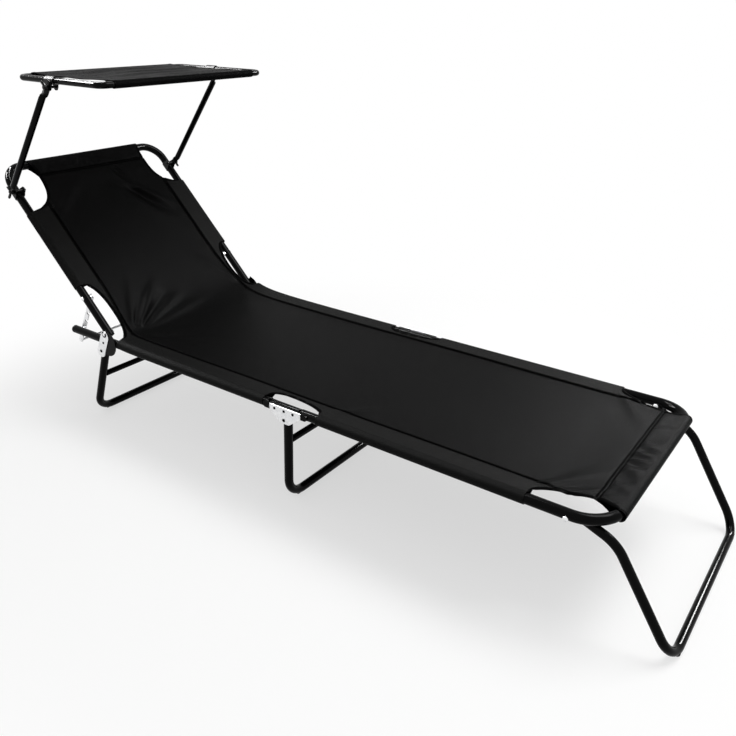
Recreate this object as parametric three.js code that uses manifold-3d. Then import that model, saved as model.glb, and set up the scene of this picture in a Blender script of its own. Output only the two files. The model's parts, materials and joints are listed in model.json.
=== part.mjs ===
// Folding sun lounger with a small canopy.
// Millimetres, +Z up, +X towards the foot end, +Y to the left of a person lying on it.
import * as THREE from "three";
import { mergeVertices } from "three/addons/utils/BufferGeometryUtils.js";
import Module from "manifold-3d";

const wasm = await Module();
wasm.setup();

const half = 0.5;
const half_turn = 180;
const degree = Math.PI / half_turn;

// Frame: tubes, levels and lengths
const frame_gauge = 520;
const frame_tube_radius = 11;
const frame_tube_wall = 1.2;
const head_corner_radius = 54;
const foot_corner_radius = 70;
const seat_level = 250;
const rear_overhang = 154;
const foot_reach = 1370;

// Backrest: pivot above the seat rails, angle above the horizontal, length to the head bar
const back_pivot_level = 276.5;
const back_angle = 45.8;
const back_length = 541.5;
const back_tail = 9;

// Hinge plates at the backrest: galvanised strap outside, black disc inside
const plate_thickness = 2.2;
const strap_width = 30;
const strap_end_margin = 13;
const seat_rivet_back = 9.5;
const rear_leg_pivot_back = 25;
const rear_leg_pivot_level = 222.5;
const disc_radius = 38;
const disc_ahead = 0.5;
const disc_rise = 2;
const disc_back = 14;
const rivet_radius = 3;
const rivet_head_radius = 5.5;
const rivet_head_height = 1.8;

// Fold link half way along: short tube, galvanised plate and the rails' tongues
const link_tube_radius = 10;
const link_pivot_seat = 610;
const link_pivot_foot = 664;
const link_rivet_middle = 638;
const link_seat_end = 20.5;
const link_foot_end = 9.5;
const link_gap = 4.5;
const link_plate_rise = 9;
const link_plate_overhang = 15;
const link_plate_foot_width = 34;
const link_plate_drop = 32;
const tongue_height = 16;
const tongue_hold = 30;

// Legs
const leg_tube_radius = 10.5;
const foot_leg_tube_radius = 9;
const leg_tube_wall = 1.2;
const leg_corner_radius = 48;
const leg_joint_run = 10;
const leg_offset = 0.5;
const leg_head = 7;
const rear_leg_foot_back = 112.5;
const mid_leg_pivot = 636.5;
const mid_leg_pivot_level = 227;
const mid_leg_foot = 626;
const brace_radius = 8;
const rear_brace_share = 0.41;
const mid_brace_share = 0.285;
const foot_leg_pivot = 1295;
const foot_leg_pivot_level = 245.5;
const foot_leg_knee_reach = 93;
const foot_leg_dip = 22;
const foot_leg_bend_radius = 80;
const foot_leg_slope = 57.78;
const foot_leg_tab_length = 26;
const foot_leg_tab_height = 16;
const foot_leg_tab_thickness = 4;

// Prop: two notched bars joined by a rod, hooked on pins inside the rear overhang
const prop_pivot_along = 114;
const prop_bar_width = 14;
const prop_bar_thickness = 3;
const prop_bar_stand_off = 5;
const prop_reach = 174;
const prop_rod_radius = 4;
const hook_pin_back = 140;
const hook_pin_radius = 4;
const notch_radius = 4.6;
const notch_angles = [0, 15, 30, 45.8, 60];

// Canopy: frame, fabric, arms, clips and wing screws
const canopy_width = 512;
const canopy_depth = 322;
const canopy_tube_radius = 7.5;
const canopy_tube_wall = 1;
const canopy_corner_radius = 20;
const canopy_centre_back = 47.5;
const canopy_level = 904.2;
const canopy_tilt = 0.8;
const canopy_clip_ahead = -27;
const arm_radius = 8;
const arm_wall = 1;
const arm_clip_along = 459;
const arm_tab_thickness = 3;
const arm_tab_width = 18;
const arm_crimp_length = 22;
const arm_top_reach = 25;
const clip_thickness = 2;
const lower_clip_width = 24;
const upper_clip_width = 34;
const clip_ear_width = 17;
const clip_ear_rise = 9;
const screw_radius = 3;
const lower_screw_at = 15;
const upper_screw_at = 14.5;
const knob_hub_radius = 6;
const knob_hub_length = 11;
const knob_wing_span = 14;
const knob_wing_width = 9;
const knob_wing_thickness = 5;
const knob_wing_from = 3.5;
const knob_neck_radius = 5;
const knob_splay = 28;
const knob_turn = 65;

// Fabric: sleeves round the tubes, sag, hems and cut-outs
const fabric_thickness = 1.2;
const sleeve_clearance = 0.4;
const sling_sag = 7;
const side_hem = 50;
const back_sleeve_start = 145;
const sleeve_below_clip = 55;
const back_sleeve_end = arm_clip_along - lower_clip_width * half - sleeve_below_clip;
const back_sling_start = 30;
const seat_sling_start = 36;
const seat_sleeve_start = 41;
const seat_sleeve_short = 42;
const seat_sleeve_end = link_pivot_seat - seat_sleeve_short;
const seat_sling_end = 669;
const foot_sling_start = 677;
const foot_sleeve_after = 60.5;
const foot_sleeve_start = link_pivot_foot + foot_sleeve_after;
const foot_sleeve_short = 156.5;
const foot_sleeve_end = foot_reach - foot_sleeve_short;
const bar_sleeve_half = 184;
const canopy_cloth_short = 14;
const corner_window_depth = 66;
const hinge_window_depth = 38;
const fold_window_depth = 28;
const window_soft_share = 0.9;
const bar_stiff_reach = 150;

// Fits and smoothness
const gap = 0.4;
const overrun = 5;
const tube_sides = 12;
const bore_sides = 6;
const bend_steps = 5;
const pin_sides = 10;
const outline_steps = 5;
const sheet_steps = 8;
const swell_steps = 4;
const hem_steps = 3;
const tip_shares = [0.98, 0.75, 0];

const dome_share = 0.6;
const cap_dome_share = 0.8;
const tiny = 1e-6;
const back_cos = Math.cos(back_angle * degree);
const back_sin = Math.sin(back_angle * degree);
const seat_rail_end = link_pivot_seat - link_seat_end - link_gap;
const foot_rail_start = link_pivot_foot + link_foot_end + link_gap;
const rail_outside = frame_gauge * half + frame_tube_radius;
const rail_inside = frame_gauge * half - frame_tube_radius;
const sides = [
  { name: "right", sign: -1 },
  { name: "left", sign: 1 },
];

// Finishes
const black_coat = new THREE.MeshStandardMaterial({ color: 0x0b0b0c, roughness: 0.25, metalness: 0.3 });
const galvanised = new THREE.MeshStandardMaterial({ color: 0xc3c6c8, roughness: 0.4, metalness: 0.9 });
const black_plastic = new THREE.MeshStandardMaterial({ color: 0x101011, roughness: 0.5, metalness: 0 });
const sling_cloth = new THREE.MeshStandardMaterial({ color: 0x242527, roughness: 0.8, metalness: 0 });
const canopy_cloth = new THREE.MeshStandardMaterial({ color: 0x1b1c1d, roughness: 0.8, metalness: 0 });

// The whole model, moved at the end so that its base centre is the origin
const model = new THREE.Group();

function add(name, solid, material) {
  const geometry = solid.isBufferGeometry ? solid : geometryOf(solid);
  const mesh = new THREE.Mesh(geometry, material);
  mesh.name = name;
  model.add(mesh);
}

// Closed geometry to solid and back
function solidOf(geometry) {
  const bare = geometry.clone();
  bare.deleteAttribute("normal");
  bare.deleteAttribute("uv");
  const merged = mergeVertices(bare, 1e-4);
  const vertProperties = new Float32Array(merged.attributes.position.array);
  const triVerts = new Uint32Array(merged.index.array);
  return new wasm.Manifold(new wasm.Mesh({ numProp: 3, vertProperties, triVerts }));
}

function geometryOf(solid) {
  const mesh = solid.getMesh();
  const geometry = new THREE.BufferGeometry();
  geometry.setAttribute("position", new THREE.Float32BufferAttribute(mesh.vertProperties, 3));
  geometry.setIndex(Array.from(mesh.triVerts));
  geometry.computeVertexNormals();
  return geometry;
}

function joined(solids) {
  return solids.reduce((whole, piece) => whole.add(piece));
}

// A path of straight runs and round bends through corner points
class BentPath extends THREE.Curve {
  constructor(corners, radius) {
    super();
    this.stations = [];
    const last = corners.length - 1;
    this.addEnd(corners[0], corners[0], corners[1]);
    for (let i = 1; i < last; i += 1) {
      this.addBend(corners[i - 1], corners[i], corners[i + 1], radius);
    }
    this.addEnd(corners[last], corners[last - 1], corners[last]);
  }

  addEnd(place, from, to) {
    this.stations.push({ at: place.clone(), along: to.clone().sub(from).normalize() });
  }

  addBend(before, corner, after, radius) {
    const into = corner.clone().sub(before).normalize();
    const out = after.clone().sub(corner).normalize();
    const turn = into.angleTo(out);
    const tangent = radius * Math.tan(turn * half);
    const start = corner.clone().addScaledVector(into, -tangent);
    const axis = into.clone().cross(out).normalize();
    const toCentre = axis.clone().cross(into).multiplyScalar(radius);
    const centre = start.clone().add(toCentre);
    for (let k = 0; k <= bend_steps; k += 1) {
      const angle = turn * k / bend_steps;
      const spoke = toCentre.clone().negate().applyAxisAngle(axis, angle);
      this.stations.push({ at: centre.clone().add(spoke), along: into.clone().applyAxisAngle(axis, angle) });
    }
  }

  get steps() {
    return this.stations.length - 1;
  }

  station(share) {
    return this.stations[Math.round(share * this.steps)];
  }

  getPointAt(share, target = new THREE.Vector3()) {
    return target.copy(this.station(share).at);
  }

  getPoint(share, target = new THREE.Vector3()) {
    return this.getPointAt(share, target);
  }

  getTangentAt(share, target = new THREE.Vector3()) {
    return target.copy(this.station(share).along);
  }
}

function roundShape(radius, sideCount) {
  const points = [];
  for (let i = 0; i < sideCount; i += 1) {
    const angle = (i + half) * 2 * Math.PI / sideCount;
    points.push(new THREE.Vector2(radius * Math.cos(angle), radius * Math.sin(angle)));
  }
  return points;
}

// A tube with open ends along corner points, or a solid rod when the wall is nothing
function tube(corners, radius, wall, bend = 1, sideCount = tube_sides) {
  const path = new BentPath(corners, bend);
  const shape = new THREE.Shape(roundShape(radius, sideCount));
  if (wall > 0) {
    shape.holes.push(new THREE.Path(roundShape(radius - wall, bore_sides)));
  }
  return solidOf(new THREE.ExtrudeGeometry(shape, { steps: path.steps, extrudePath: path }));
}

// A closed skin round a line of stations, each with its own half width and half thickness
function swept(stations, thin_start, sideCount = tube_sides) {
  let thin = thin_start.clone();
  const positions = [];
  const index = [];
  stations.forEach((station, i) => {
    if (i > 0) {
      const turn = new THREE.Quaternion().setFromUnitVectors(stations[i - 1].along, station.along);
      thin = thin.applyQuaternion(turn);
    }
    const wide = thin.clone().cross(station.along);
    for (const corner of roundShape(1, sideCount)) {
      const place = station.at.clone()
        .addScaledVector(wide, station.width * corner.x)
        .addScaledVector(thin, station.thickness * corner.y);
      positions.push(place.x, place.y, place.z);
    }
  });
  const last = stations.length - 1;
  for (let i = 0; i < last; i += 1) {
    for (let j = 0; j < sideCount; j += 1) {
      const a = i * sideCount + j;
      const b = i * sideCount + (j + 1) % sideCount;
      index.push(a, b, b + sideCount, a, b + sideCount, a + sideCount);
    }
  }
  for (let j = 1; j + 1 < sideCount; j += 1) {
    const end = last * sideCount;
    index.push(0, j + 1, j, end, end + j, end + j + 1);
  }
  const geometry = new THREE.BufferGeometry();
  geometry.setAttribute("position", new THREE.Float32BufferAttribute(positions, 3));
  geometry.setIndex(index);
  return solidOf(geometry);
}

function smooth(share) {
  return share * share * (3 - 2 * share);
}

// Stations of a flattened tube end: a rounded tip behind the pin, the flat, and the swell to the round tube
function flatEnd(pin, along, half_width, half_thickness, flat_length, swell_length, radius, shift) {
  const stations = [];
  for (const share of tip_shares) {
    const width = half_width * Math.sqrt(1 - share * share);
    stations.push({
      at: pin.clone().addScaledVector(along, -half_width * share), along, width, thickness: half_thickness,
    });
  }
  for (let i = 0; i <= swell_steps; i += 1) {
    const ease = smooth(i / swell_steps);
    stations.push({
      at: pin.clone()
        .addScaledVector(along, flat_length + swell_length * i / swell_steps)
        .addScaledVector(shift, ease),
      along,
      width: half_width + (radius - half_width) * ease,
      thickness: half_thickness + (radius - half_thickness) * ease,
    });
  }
  return stations;
}

function at(x, y, z) {
  return new THREE.Vector3(x, y, z);
}

function extruded(shape, depth) {
  return new THREE.ExtrudeGeometry(shape, { depth, bevelEnabled: false, curveSegments: outline_steps });
}

// A flat plate in the XZ plane, its outline in (x, z), between two distances from the middle plane
function sidePlate(shape, side, inner, outer) {
  const geometry = extruded(shape, outer - inner);
  geometry.rotateX(90 * degree);
  geometry.translate(0, side.sign < 0 ? -inner : outer, 0);
  return solidOf(geometry);
}

// A round pin along Y between two distances from the middle plane
function sidePin(x, z, radius, side, inner, outer) {
  const geometry = new THREE.CylinderGeometry(radius, radius, outer - inner, pin_sides);
  geometry.translate(x, side.sign * (inner + outer) * half, z);
  return solidOf(geometry);
}

// A domed rivet head that stands out from the given distance, outwards or inwards
function rivetHead(x, z, side, seat, direction) {
  const profile = [
    new THREE.Vector2(0, 0),
    new THREE.Vector2(rivet_head_radius, 0),
    new THREE.Vector2(rivet_head_radius * dome_share, rivet_head_height),
    new THREE.Vector2(0, rivet_head_height),
  ];
  const geometry = new THREE.LatheGeometry(profile, pin_sides);
  if (side.sign * direction < 0) {
    geometry.rotateX(half_turn * degree);
  }
  geometry.translate(x, side.sign * seat, z);
  return solidOf(geometry);
}

// A rivet through everything between two faces, with a head on each
function rivet(x, z, side, inner, outer) {
  return joined([
    sidePin(x, z, rivet_radius, side, inner - gap, outer + gap),
    rivetHead(x, z, side, outer + gap, 1),
    rivetHead(x, z, side, inner - gap, -1),
  ]);
}

function pinHole(x, z, radius, side, inner, outer) {
  return sidePin(x, z, radius + gap, side, inner - overrun, outer + overrun);
}

// A bar outline with round ends between two points
function slotShape(x0, z0, x1, z1, radius) {
  const angle = Math.atan2(z1 - z0, x1 - x0);
  const shape = new THREE.Shape();
  shape.absarc(x1, z1, radius, angle - 90 * degree, angle + 90 * degree, false);
  shape.absarc(x0, z0, radius, angle + 90 * degree, angle + 270 * degree, false);
  shape.closePath();
  return shape;
}

// A closed slab over a grid: the top surface point for two shares, and its thickness downwards
function slab(point, along, across, down) {
  const rows = along + 1;
  const columns = across + 1;
  const positions = [];
  for (const depth of [0, 1]) {
    for (let i = 0; i < rows; i += 1) {
      for (let j = 0; j < columns; j += 1) {
        const place = point(i / along, j / across).addScaledVector(down, depth);
        positions.push(place.x, place.y, place.z);
      }
    }
  }
  const index = [];
  const id = (layer, i, j) => layer * rows * columns + i * columns + j;
  const quad = (a, b, c, d) => index.push(a, b, c, a, c, d);
  for (let i = 0; i < along; i += 1) {
    for (let j = 0; j < across; j += 1) {
      quad(id(0, i, j), id(0, i + 1, j), id(0, i + 1, j + 1), id(0, i, j + 1));
      quad(id(1, i, j), id(1, i, j + 1), id(1, i + 1, j + 1), id(1, i + 1, j));
    }
    quad(id(0, i, 0), id(1, i, 0), id(1, i + 1, 0), id(0, i + 1, 0));
    quad(id(0, i, across), id(0, i + 1, across), id(1, i + 1, across), id(1, i, across));
  }
  for (let j = 0; j < across; j += 1) {
    quad(id(0, 0, j), id(0, 0, j + 1), id(1, 0, j + 1), id(1, 0, j));
    quad(id(0, along, j), id(1, along, j), id(1, along, j + 1), id(0, along, j + 1));
  }
  const geometry = new THREE.BufferGeometry();
  geometry.setAttribute("position", new THREE.Float32BufferAttribute(positions, 3));
  geometry.setIndex(index);
  return solidOf(geometry);
}

// Backrest places: a distance along the tubes from the pivot, and one square to them towards the front
function onBack(along, across, front) {
  return at(
    -along * back_cos + front * back_sin,
    across,
    back_pivot_level + along * back_sin + front * back_cos,
  );
}

// Turns a solid modelled lying flat along -X at the pivot's level into the backrest's slope
function leanBack(solid) {
  const turned = geometryOf(solid);
  turned.translate(0, 0, -back_pivot_level);
  turned.rotateY(back_angle * degree);
  turned.translate(0, 0, back_pivot_level);
  return solidOf(turned);
}

// Tube layout shared by the frames and by the fabric round them
const rail_y = frame_gauge * half;
const head_corners = [
  onBack(-back_tail, -rail_y, 0),
  onBack(back_length, -rail_y, 0),
  onBack(back_length, rail_y, 0),
  onBack(-back_tail, rail_y, 0),
];
const foot_corners = [
  at(foot_rail_start, -rail_y, seat_level),
  at(foot_reach, -rail_y, seat_level),
  at(foot_reach, rail_y, seat_level),
  at(foot_rail_start, rail_y, seat_level),
];

const disc_inner = rail_outside + gap;
const disc_outer = disc_inner + plate_thickness;
const strap_inner = disc_outer + gap;
const strap_outer = strap_inner + plate_thickness;
const tongue_inner = rail_outside + gap;
const tongue_outer = tongue_inner + plate_thickness;
const link_plate_inner = tongue_outer + gap;
const link_plate_outer = link_plate_inner + plate_thickness;

// Seat: rails, caps, hinge plates, tongues and hook pins
function railHoles(solid, side) {
  return solid
    .subtract(pinHole(-seat_rivet_back, seat_level, rivet_radius, side, rail_y, rail_outside))
    .subtract(pinHole(-hook_pin_back, seat_level, hook_pin_radius, side, rail_inside, rail_y));
}

function seatRail(side) {
  const y = side.sign * rail_y;
  const run = [at(-rear_overhang, y, seat_level), at(seat_rail_end, y, seat_level)];
  return railHoles(tube(run, frame_tube_radius, frame_tube_wall), side);
}

function railCap(side) {
  const plug = frame_tube_radius - frame_tube_wall - gap;
  const bore_flat_share = Math.cos(Math.PI / bore_sides);
  const dome = frame_tube_radius * cap_dome_share;
  const profile = [
    new THREE.Vector2(0, dome * half),
    new THREE.Vector2(plug * bore_flat_share, dome * half),
    new THREE.Vector2(plug * bore_flat_share, -gap),
    new THREE.Vector2(frame_tube_radius, -gap),
    new THREE.Vector2(frame_tube_radius, -dome * half),
    new THREE.Vector2(dome, -dome),
    new THREE.Vector2(0, -dome),
  ];
  const geometry = new THREE.LatheGeometry(profile.reverse(), tube_sides);
  geometry.rotateZ(-90 * degree);
  geometry.translate(-rear_overhang, side.sign * rail_y, seat_level);
  return solidOf(geometry);
}

function hingeStrap(side) {
  const top = { x: 0, z: back_pivot_level };
  const bottom = { x: -rear_leg_pivot_back, z: rear_leg_pivot_level };
  const length = Math.hypot(top.x - bottom.x, top.z - bottom.z);
  const spare = (strap_end_margin + rivet_head_radius - strap_width * half) / length;
  const foot = { x: bottom.x - (top.x - bottom.x) * spare, z: bottom.z - (top.z - bottom.z) * spare };
  const outline = slotShape(foot.x, foot.z, top.x, top.z - strap_end_margin * half, strap_width * half);
  const plate = sidePlate(outline, side, strap_inner, strap_outer)
    .subtract(pinHole(0, back_pivot_level, rivet_radius, side, strap_inner, strap_outer))
    .subtract(pinHole(bottom.x, bottom.z, rivet_radius, side, strap_inner, strap_outer));
  const seat_rivet = joined([
    sidePin(-seat_rivet_back, seat_level, rivet_radius, side, rail_y, strap_outer),
    rivetHead(-seat_rivet_back, seat_level, side, strap_outer, 1),
  ]);
  return plate.add(seat_rivet);
}

// A half disc that faces the foot end, its straight side behind the strap's rivets
function hingeDisc(side) {
  const lean = Math.atan2(back_pivot_level - rear_leg_pivot_level, rear_leg_pivot_back);
  const centre = { x: disc_ahead, z: seat_level + disc_rise };
  const back = { x: -Math.sin(lean) * disc_back, z: Math.cos(lean) * disc_back };
  const reach = { x: Math.cos(lean) * disc_radius, z: Math.sin(lean) * disc_radius };
  const outline = new THREE.Shape();
  outline.absarc(centre.x, centre.z, disc_radius, lean - Math.PI, lean, false);
  outline.lineTo(centre.x + reach.x + back.x, centre.z + reach.z + back.z);
  outline.lineTo(centre.x - reach.x + back.x, centre.z - reach.z + back.z);
  outline.closePath();
  return [
    [0, back_pivot_level],
    [-rear_leg_pivot_back, rear_leg_pivot_level],
    [-seat_rivet_back, seat_level],
  ].reduce(
    (plate, [x, z]) => plate.subtract(pinHole(x, z, rivet_radius, side, disc_inner, disc_outer)),
    sidePlate(outline, side, disc_inner, disc_outer),
  );
}

function tongue(pivot, hold, side) {
  const outline = slotShape(pivot, seat_level, hold, seat_level, tongue_height * half);
  return sidePlate(outline, side, tongue_inner, tongue_outer)
    .subtract(pinHole(pivot, seat_level, rivet_radius, side, tongue_inner, tongue_outer));
}

function hookPin(side) {
  const tip = rail_inside - prop_bar_stand_off + gap;
  return joined([
    sidePin(-hook_pin_back, seat_level, hook_pin_radius, side, tip, rail_y),
    sidePin(-hook_pin_back, seat_level, hook_pin_radius + frame_tube_wall, side, tip, rail_inside - gap),
  ]);
}

for (const side of sides) {
  add(`seat_rail_${side.name}`, seatRail(side), black_coat);
  add(`rail_cap_${side.name}`, railCap(side), black_plastic);
  add(`hinge_strap_${side.name}`, hingeStrap(side), galvanised);
  add(`hinge_disc_${side.name}`, hingeDisc(side), black_coat);
  add(`seat_tongue_${side.name}`, tongue(link_pivot_seat, link_pivot_seat - tongue_hold, side), black_coat);
  add(`hook_pin_${side.name}`, hookPin(side), galvanised);
}

// Backrest: bent frame and its rivets
const prop_pivot = onBack(prop_pivot_along, 0, 0);
const prop_outer = rail_inside - prop_bar_stand_off;
const prop_inner = prop_outer - prop_bar_thickness;

function headFrame() {
  let frame = tube(head_corners, frame_tube_radius, frame_tube_wall, head_corner_radius);
  for (const side of sides) {
    frame = frame
      .subtract(pinHole(0, back_pivot_level, rivet_radius, side, rail_inside, rail_outside))
      .subtract(pinHole(prop_pivot.x, prop_pivot.z, rivet_radius, side, prop_inner, rail_outside));
  }
  return frame;
}

function propRivet(side) {
  const spacer = sidePin(
    prop_pivot.x, prop_pivot.z, rivet_head_radius, side, prop_outer + gap, rail_inside - gap,
  );
  return rivet(prop_pivot.x, prop_pivot.z, side, prop_inner, rail_outside).add(spacer);
}

add("head_frame", headFrame(), black_coat);
for (const side of sides) {
  add(`back_pivot_${side.name}`, rivet(0, back_pivot_level, side, rail_inside, strap_outer), galvanised);
  add(`prop_rivet_${side.name}`, propRivet(side), galvanised);
}

// Prop bars with notches on the front edge, one for each angle of the backrest
const prop_lean = Math.atan2(seat_level - prop_pivot.z, -hook_pin_back - prop_pivot.x);

function propBar(side) {
  const seat_back = hook_pin_radius;
  const foot = {
    x: prop_pivot.x + prop_reach * Math.cos(prop_lean),
    z: prop_pivot.z + prop_reach * Math.sin(prop_lean),
  };
  const shift = { x: Math.sin(prop_lean) * seat_back, z: -Math.cos(prop_lean) * seat_back };
  const outline = slotShape(
    prop_pivot.x, prop_pivot.z, foot.x + shift.x, foot.z + shift.z, prop_bar_width * half,
  );
  let bar = sidePlate(outline, side, prop_inner, prop_outer)
    .subtract(pinHole(prop_pivot.x, prop_pivot.z, rivet_radius, side, prop_inner, prop_outer))
    .subtract(sidePin(foot.x + shift.x, foot.z + shift.z, prop_rod_radius * half + gap, side,
      prop_inner - overrun, prop_outer + overrun));
  for (const angle of notch_angles) {
    const pivot_x = -prop_pivot_along * Math.cos(angle * degree);
    const pivot_z = back_pivot_level + prop_pivot_along * Math.sin(angle * degree);
    const reach = Math.hypot(pivot_x + hook_pin_back, pivot_z - seat_level);
    const x = prop_pivot.x + reach * Math.cos(prop_lean);
    const z = prop_pivot.z + reach * Math.sin(prop_lean);
    const mouth = { x: x - shift.x * notch_radius, z: z - shift.z * notch_radius };
    bar = bar.subtract(sidePlate(
      slotShape(x, z, mouth.x, mouth.z, notch_radius), side, prop_inner - overrun, prop_outer + overrun,
    ));
  }
  return { bar, x: foot.x + shift.x, z: foot.z + shift.z };
}

function propRod(x, z) {
  const shoulder = prop_inner - gap;
  const body = tube([at(x, -shoulder, z), at(x, shoulder, z)], prop_rod_radius, 0, 1, pin_sides);
  const neck = prop_rod_radius * half;
  const ends = sides.map((side) => sidePin(x, z, neck, side, shoulder - gap, prop_outer + gap));
  return joined([body, ...ends]);
}

for (const side of sides) {
  const { bar, x, z } = propBar(side);
  add(`prop_bar_${side.name}`, bar, galvanised);
  if (side.sign > 0) {
    add("prop_rod", propRod(x, z), galvanised);
  }
}

// Fold link: short tubes between the rails, plates outside with the pivot pins on them
function linkTube(side) {
  const y = side.sign * rail_y;
  const run = [
    at(link_pivot_seat - link_seat_end, y, seat_level),
    at(link_pivot_foot + link_foot_end, y, seat_level),
  ];
  return tube(run, link_tube_radius, frame_tube_wall)
    .subtract(pinHole(link_rivet_middle, seat_level, rivet_radius, side, rail_y, link_plate_outer));
}

function linkPlate(side) {
  const left = link_pivot_seat - link_plate_overhang;
  const right = link_pivot_foot + link_plate_overhang + strap_end_margin * half;
  const top = seat_level + link_plate_rise;
  const low = seat_level - link_plate_rise;
  const base = seat_level - link_plate_drop;
  const foot = mid_leg_pivot - link_plate_foot_width * half;
  const outline = new THREE.Shape();
  outline.moveTo(left, top);
  outline.lineTo(left, low + link_plate_rise * half);
  outline.lineTo(foot, base + rivet_radius);
  outline.quadraticCurveTo(foot + rivet_radius, base, foot + rivet_head_radius, base);
  outline.lineTo(foot + link_plate_foot_width, base);
  outline.lineTo(right, low);
  outline.lineTo(right, top - link_plate_rise * half);
  outline.lineTo(right - link_plate_rise * half, top);
  outline.closePath();
  let plate = sidePlate(outline, side, link_plate_inner, link_plate_outer)
    .subtract(pinHole(
      mid_leg_pivot, mid_leg_pivot_level, rivet_radius, side, link_plate_inner, link_plate_outer,
    ));
  const depths = [
    [link_pivot_seat, tongue_inner],
    [link_pivot_foot, tongue_inner],
    [link_rivet_middle, rail_y + link_tube_radius - frame_tube_wall],
  ];
  for (const [x, inner] of depths) {
    plate = plate
      .add(sidePin(x, seat_level, rivet_radius, side, inner, link_plate_outer))
      .add(rivetHead(x, seat_level, side, link_plate_outer, 1));
  }
  const bush_inner = rail_y + link_tube_radius + gap;
  const bush = sidePin(
    link_rivet_middle, seat_level, rivet_head_radius, side, bush_inner, link_plate_inner + gap,
  );
  return plate.add(bush);
}

for (const side of sides) {
  add(`link_tube_${side.name}`, linkTube(side), black_coat);
  add(`link_plate_${side.name}`, linkPlate(side), galvanised);
}

// Rear and middle legs: two bent tubes, a floor bar on spigots between them, and a brace
function braceAt({ pivot, foot, brace_share }) {
  return {
    x: pivot.x + (foot.x - pivot.x) * brace_share,
    z: pivot.z + (foot.z - pivot.z) * brace_share,
  };
}

const leg_y = rail_y + leg_offset;

function legTube(side, leg) {
  const { pivot, foot, outer } = leg;
  const y = side.sign * leg_y;
  const reach = Math.hypot(pivot.x - foot.x, pivot.z - foot.z);
  const over = leg_head / reach;
  const head = at(pivot.x + (pivot.x - foot.x) * over, y, pivot.z + (pivot.z - foot.z) * over);
  const end = side.sign * (leg_y - leg_corner_radius - leg_joint_run);
  const corners = [head, at(foot.x, y, foot.z), at(foot.x, end, foot.z)];
  const brace = braceAt(leg);
  return tube(corners, leg_tube_radius, leg_tube_wall, leg_corner_radius)
    .subtract(pinHole(pivot.x, pivot.z, rivet_radius, side, leg_y - leg_tube_radius, outer))
    .subtract(sidePin(brace.x, brace.z, rivet_radius + gap, side, leg_y - leg_tube_radius - gap, leg_y));
}

// A turned tube along Y with smaller ends, given as radius and half length for each step outside and in
function steppedTube(x, z, outside, inside) {
  const outer = outside.map(([radius, end]) => new THREE.Vector2(radius, end));
  const inner = inside.map(([radius, end]) => new THREE.Vector2(radius, end));
  const flip = (point) => new THREE.Vector2(point.x, -point.y);
  const loop = [...outer.map(flip).reverse(), ...outer, ...inner.slice().reverse(), ...inner.map(flip)];
  loop.push(loop[0].clone());
  const geometry = new THREE.LatheGeometry(loop, tube_sides);
  geometry.translate(x, 0, z);
  return solidOf(geometry);
}

// A floor bar whose narrowed ends plug into the bent tubes
function floorBar(x, radius, half_length) {
  const bore = radius - leg_tube_wall;
  const spigot = bore * Math.cos(Math.PI / bore_sides) - gap;
  const tip = half_length + leg_joint_run - gap;
  return steppedTube(
    x, radius,
    [[radius, half_length], [spigot, half_length], [spigot, tip]],
    [[spigot - leg_tube_wall, tip]],
  );
}

// A brace whose narrowed ends enter holes in the legs
function legBrace(leg) {
  const { x, z } = braceAt(leg);
  const shoulder = leg_y - leg_tube_radius - gap;
  const tip = leg_y - gap;
  const neck = shoulder - leg_tube_wall * 2;
  return steppedTube(
    x, z,
    [[brace_radius, shoulder], [rivet_radius, shoulder], [rivet_radius, tip]],
    [[brace_radius - leg_tube_wall, neck], [rivet_radius * half, neck], [rivet_radius * half, tip]],
  );
}

const rear_leg = {
  name: "rear_leg",
  pivot: { x: -rear_leg_pivot_back, z: rear_leg_pivot_level },
  foot: { x: -rear_leg_foot_back, z: leg_tube_radius },
  brace_share: rear_brace_share,
  inner: leg_y - leg_tube_radius,
  outer: strap_outer,
};
const mid_leg = {
  name: "mid_leg",
  pivot: { x: mid_leg_pivot, z: mid_leg_pivot_level },
  foot: { x: mid_leg_foot, z: leg_tube_radius },
  brace_share: mid_brace_share,
  inner: leg_y - leg_tube_radius,
  outer: link_plate_outer,
};

for (const leg of [rear_leg, mid_leg]) {
  const bar_half = leg_y - leg_corner_radius - leg_joint_run - gap;
  for (const side of sides) {
    const pin = rivet(leg.pivot.x, leg.pivot.z, side, leg.inner, leg.outer);
    add(`${leg.name}_tube_${side.name}`, legTube(side, leg), black_coat);
    add(`${leg.name}_pivot_${side.name}`, pin, galvanised);
  }
  add(`${leg.name}_floor_bar`, floorBar(leg.foot.x, leg_tube_radius, bar_half), black_coat);
  add(`${leg.name}_brace`, legBrace(leg), black_coat);
}

// Foot section: bent frame with tongues, and its leg pivoting on the inside of the rails
const foot_leg_y = rail_inside - gap - foot_leg_tube_radius;
const foot_leg_tab_outer = rail_inside - gap;
const foot_leg_tab_inner = foot_leg_tab_outer - foot_leg_tab_thickness;

function footFrame() {
  let frame = tube(foot_corners, frame_tube_radius, frame_tube_wall, foot_corner_radius);
  for (const side of sides) {
    frame = frame.subtract(
      pinHole(foot_leg_pivot, foot_leg_pivot_level, rivet_radius, side, foot_leg_tab_inner, rail_outside),
    );
  }
  return frame;
}

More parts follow.
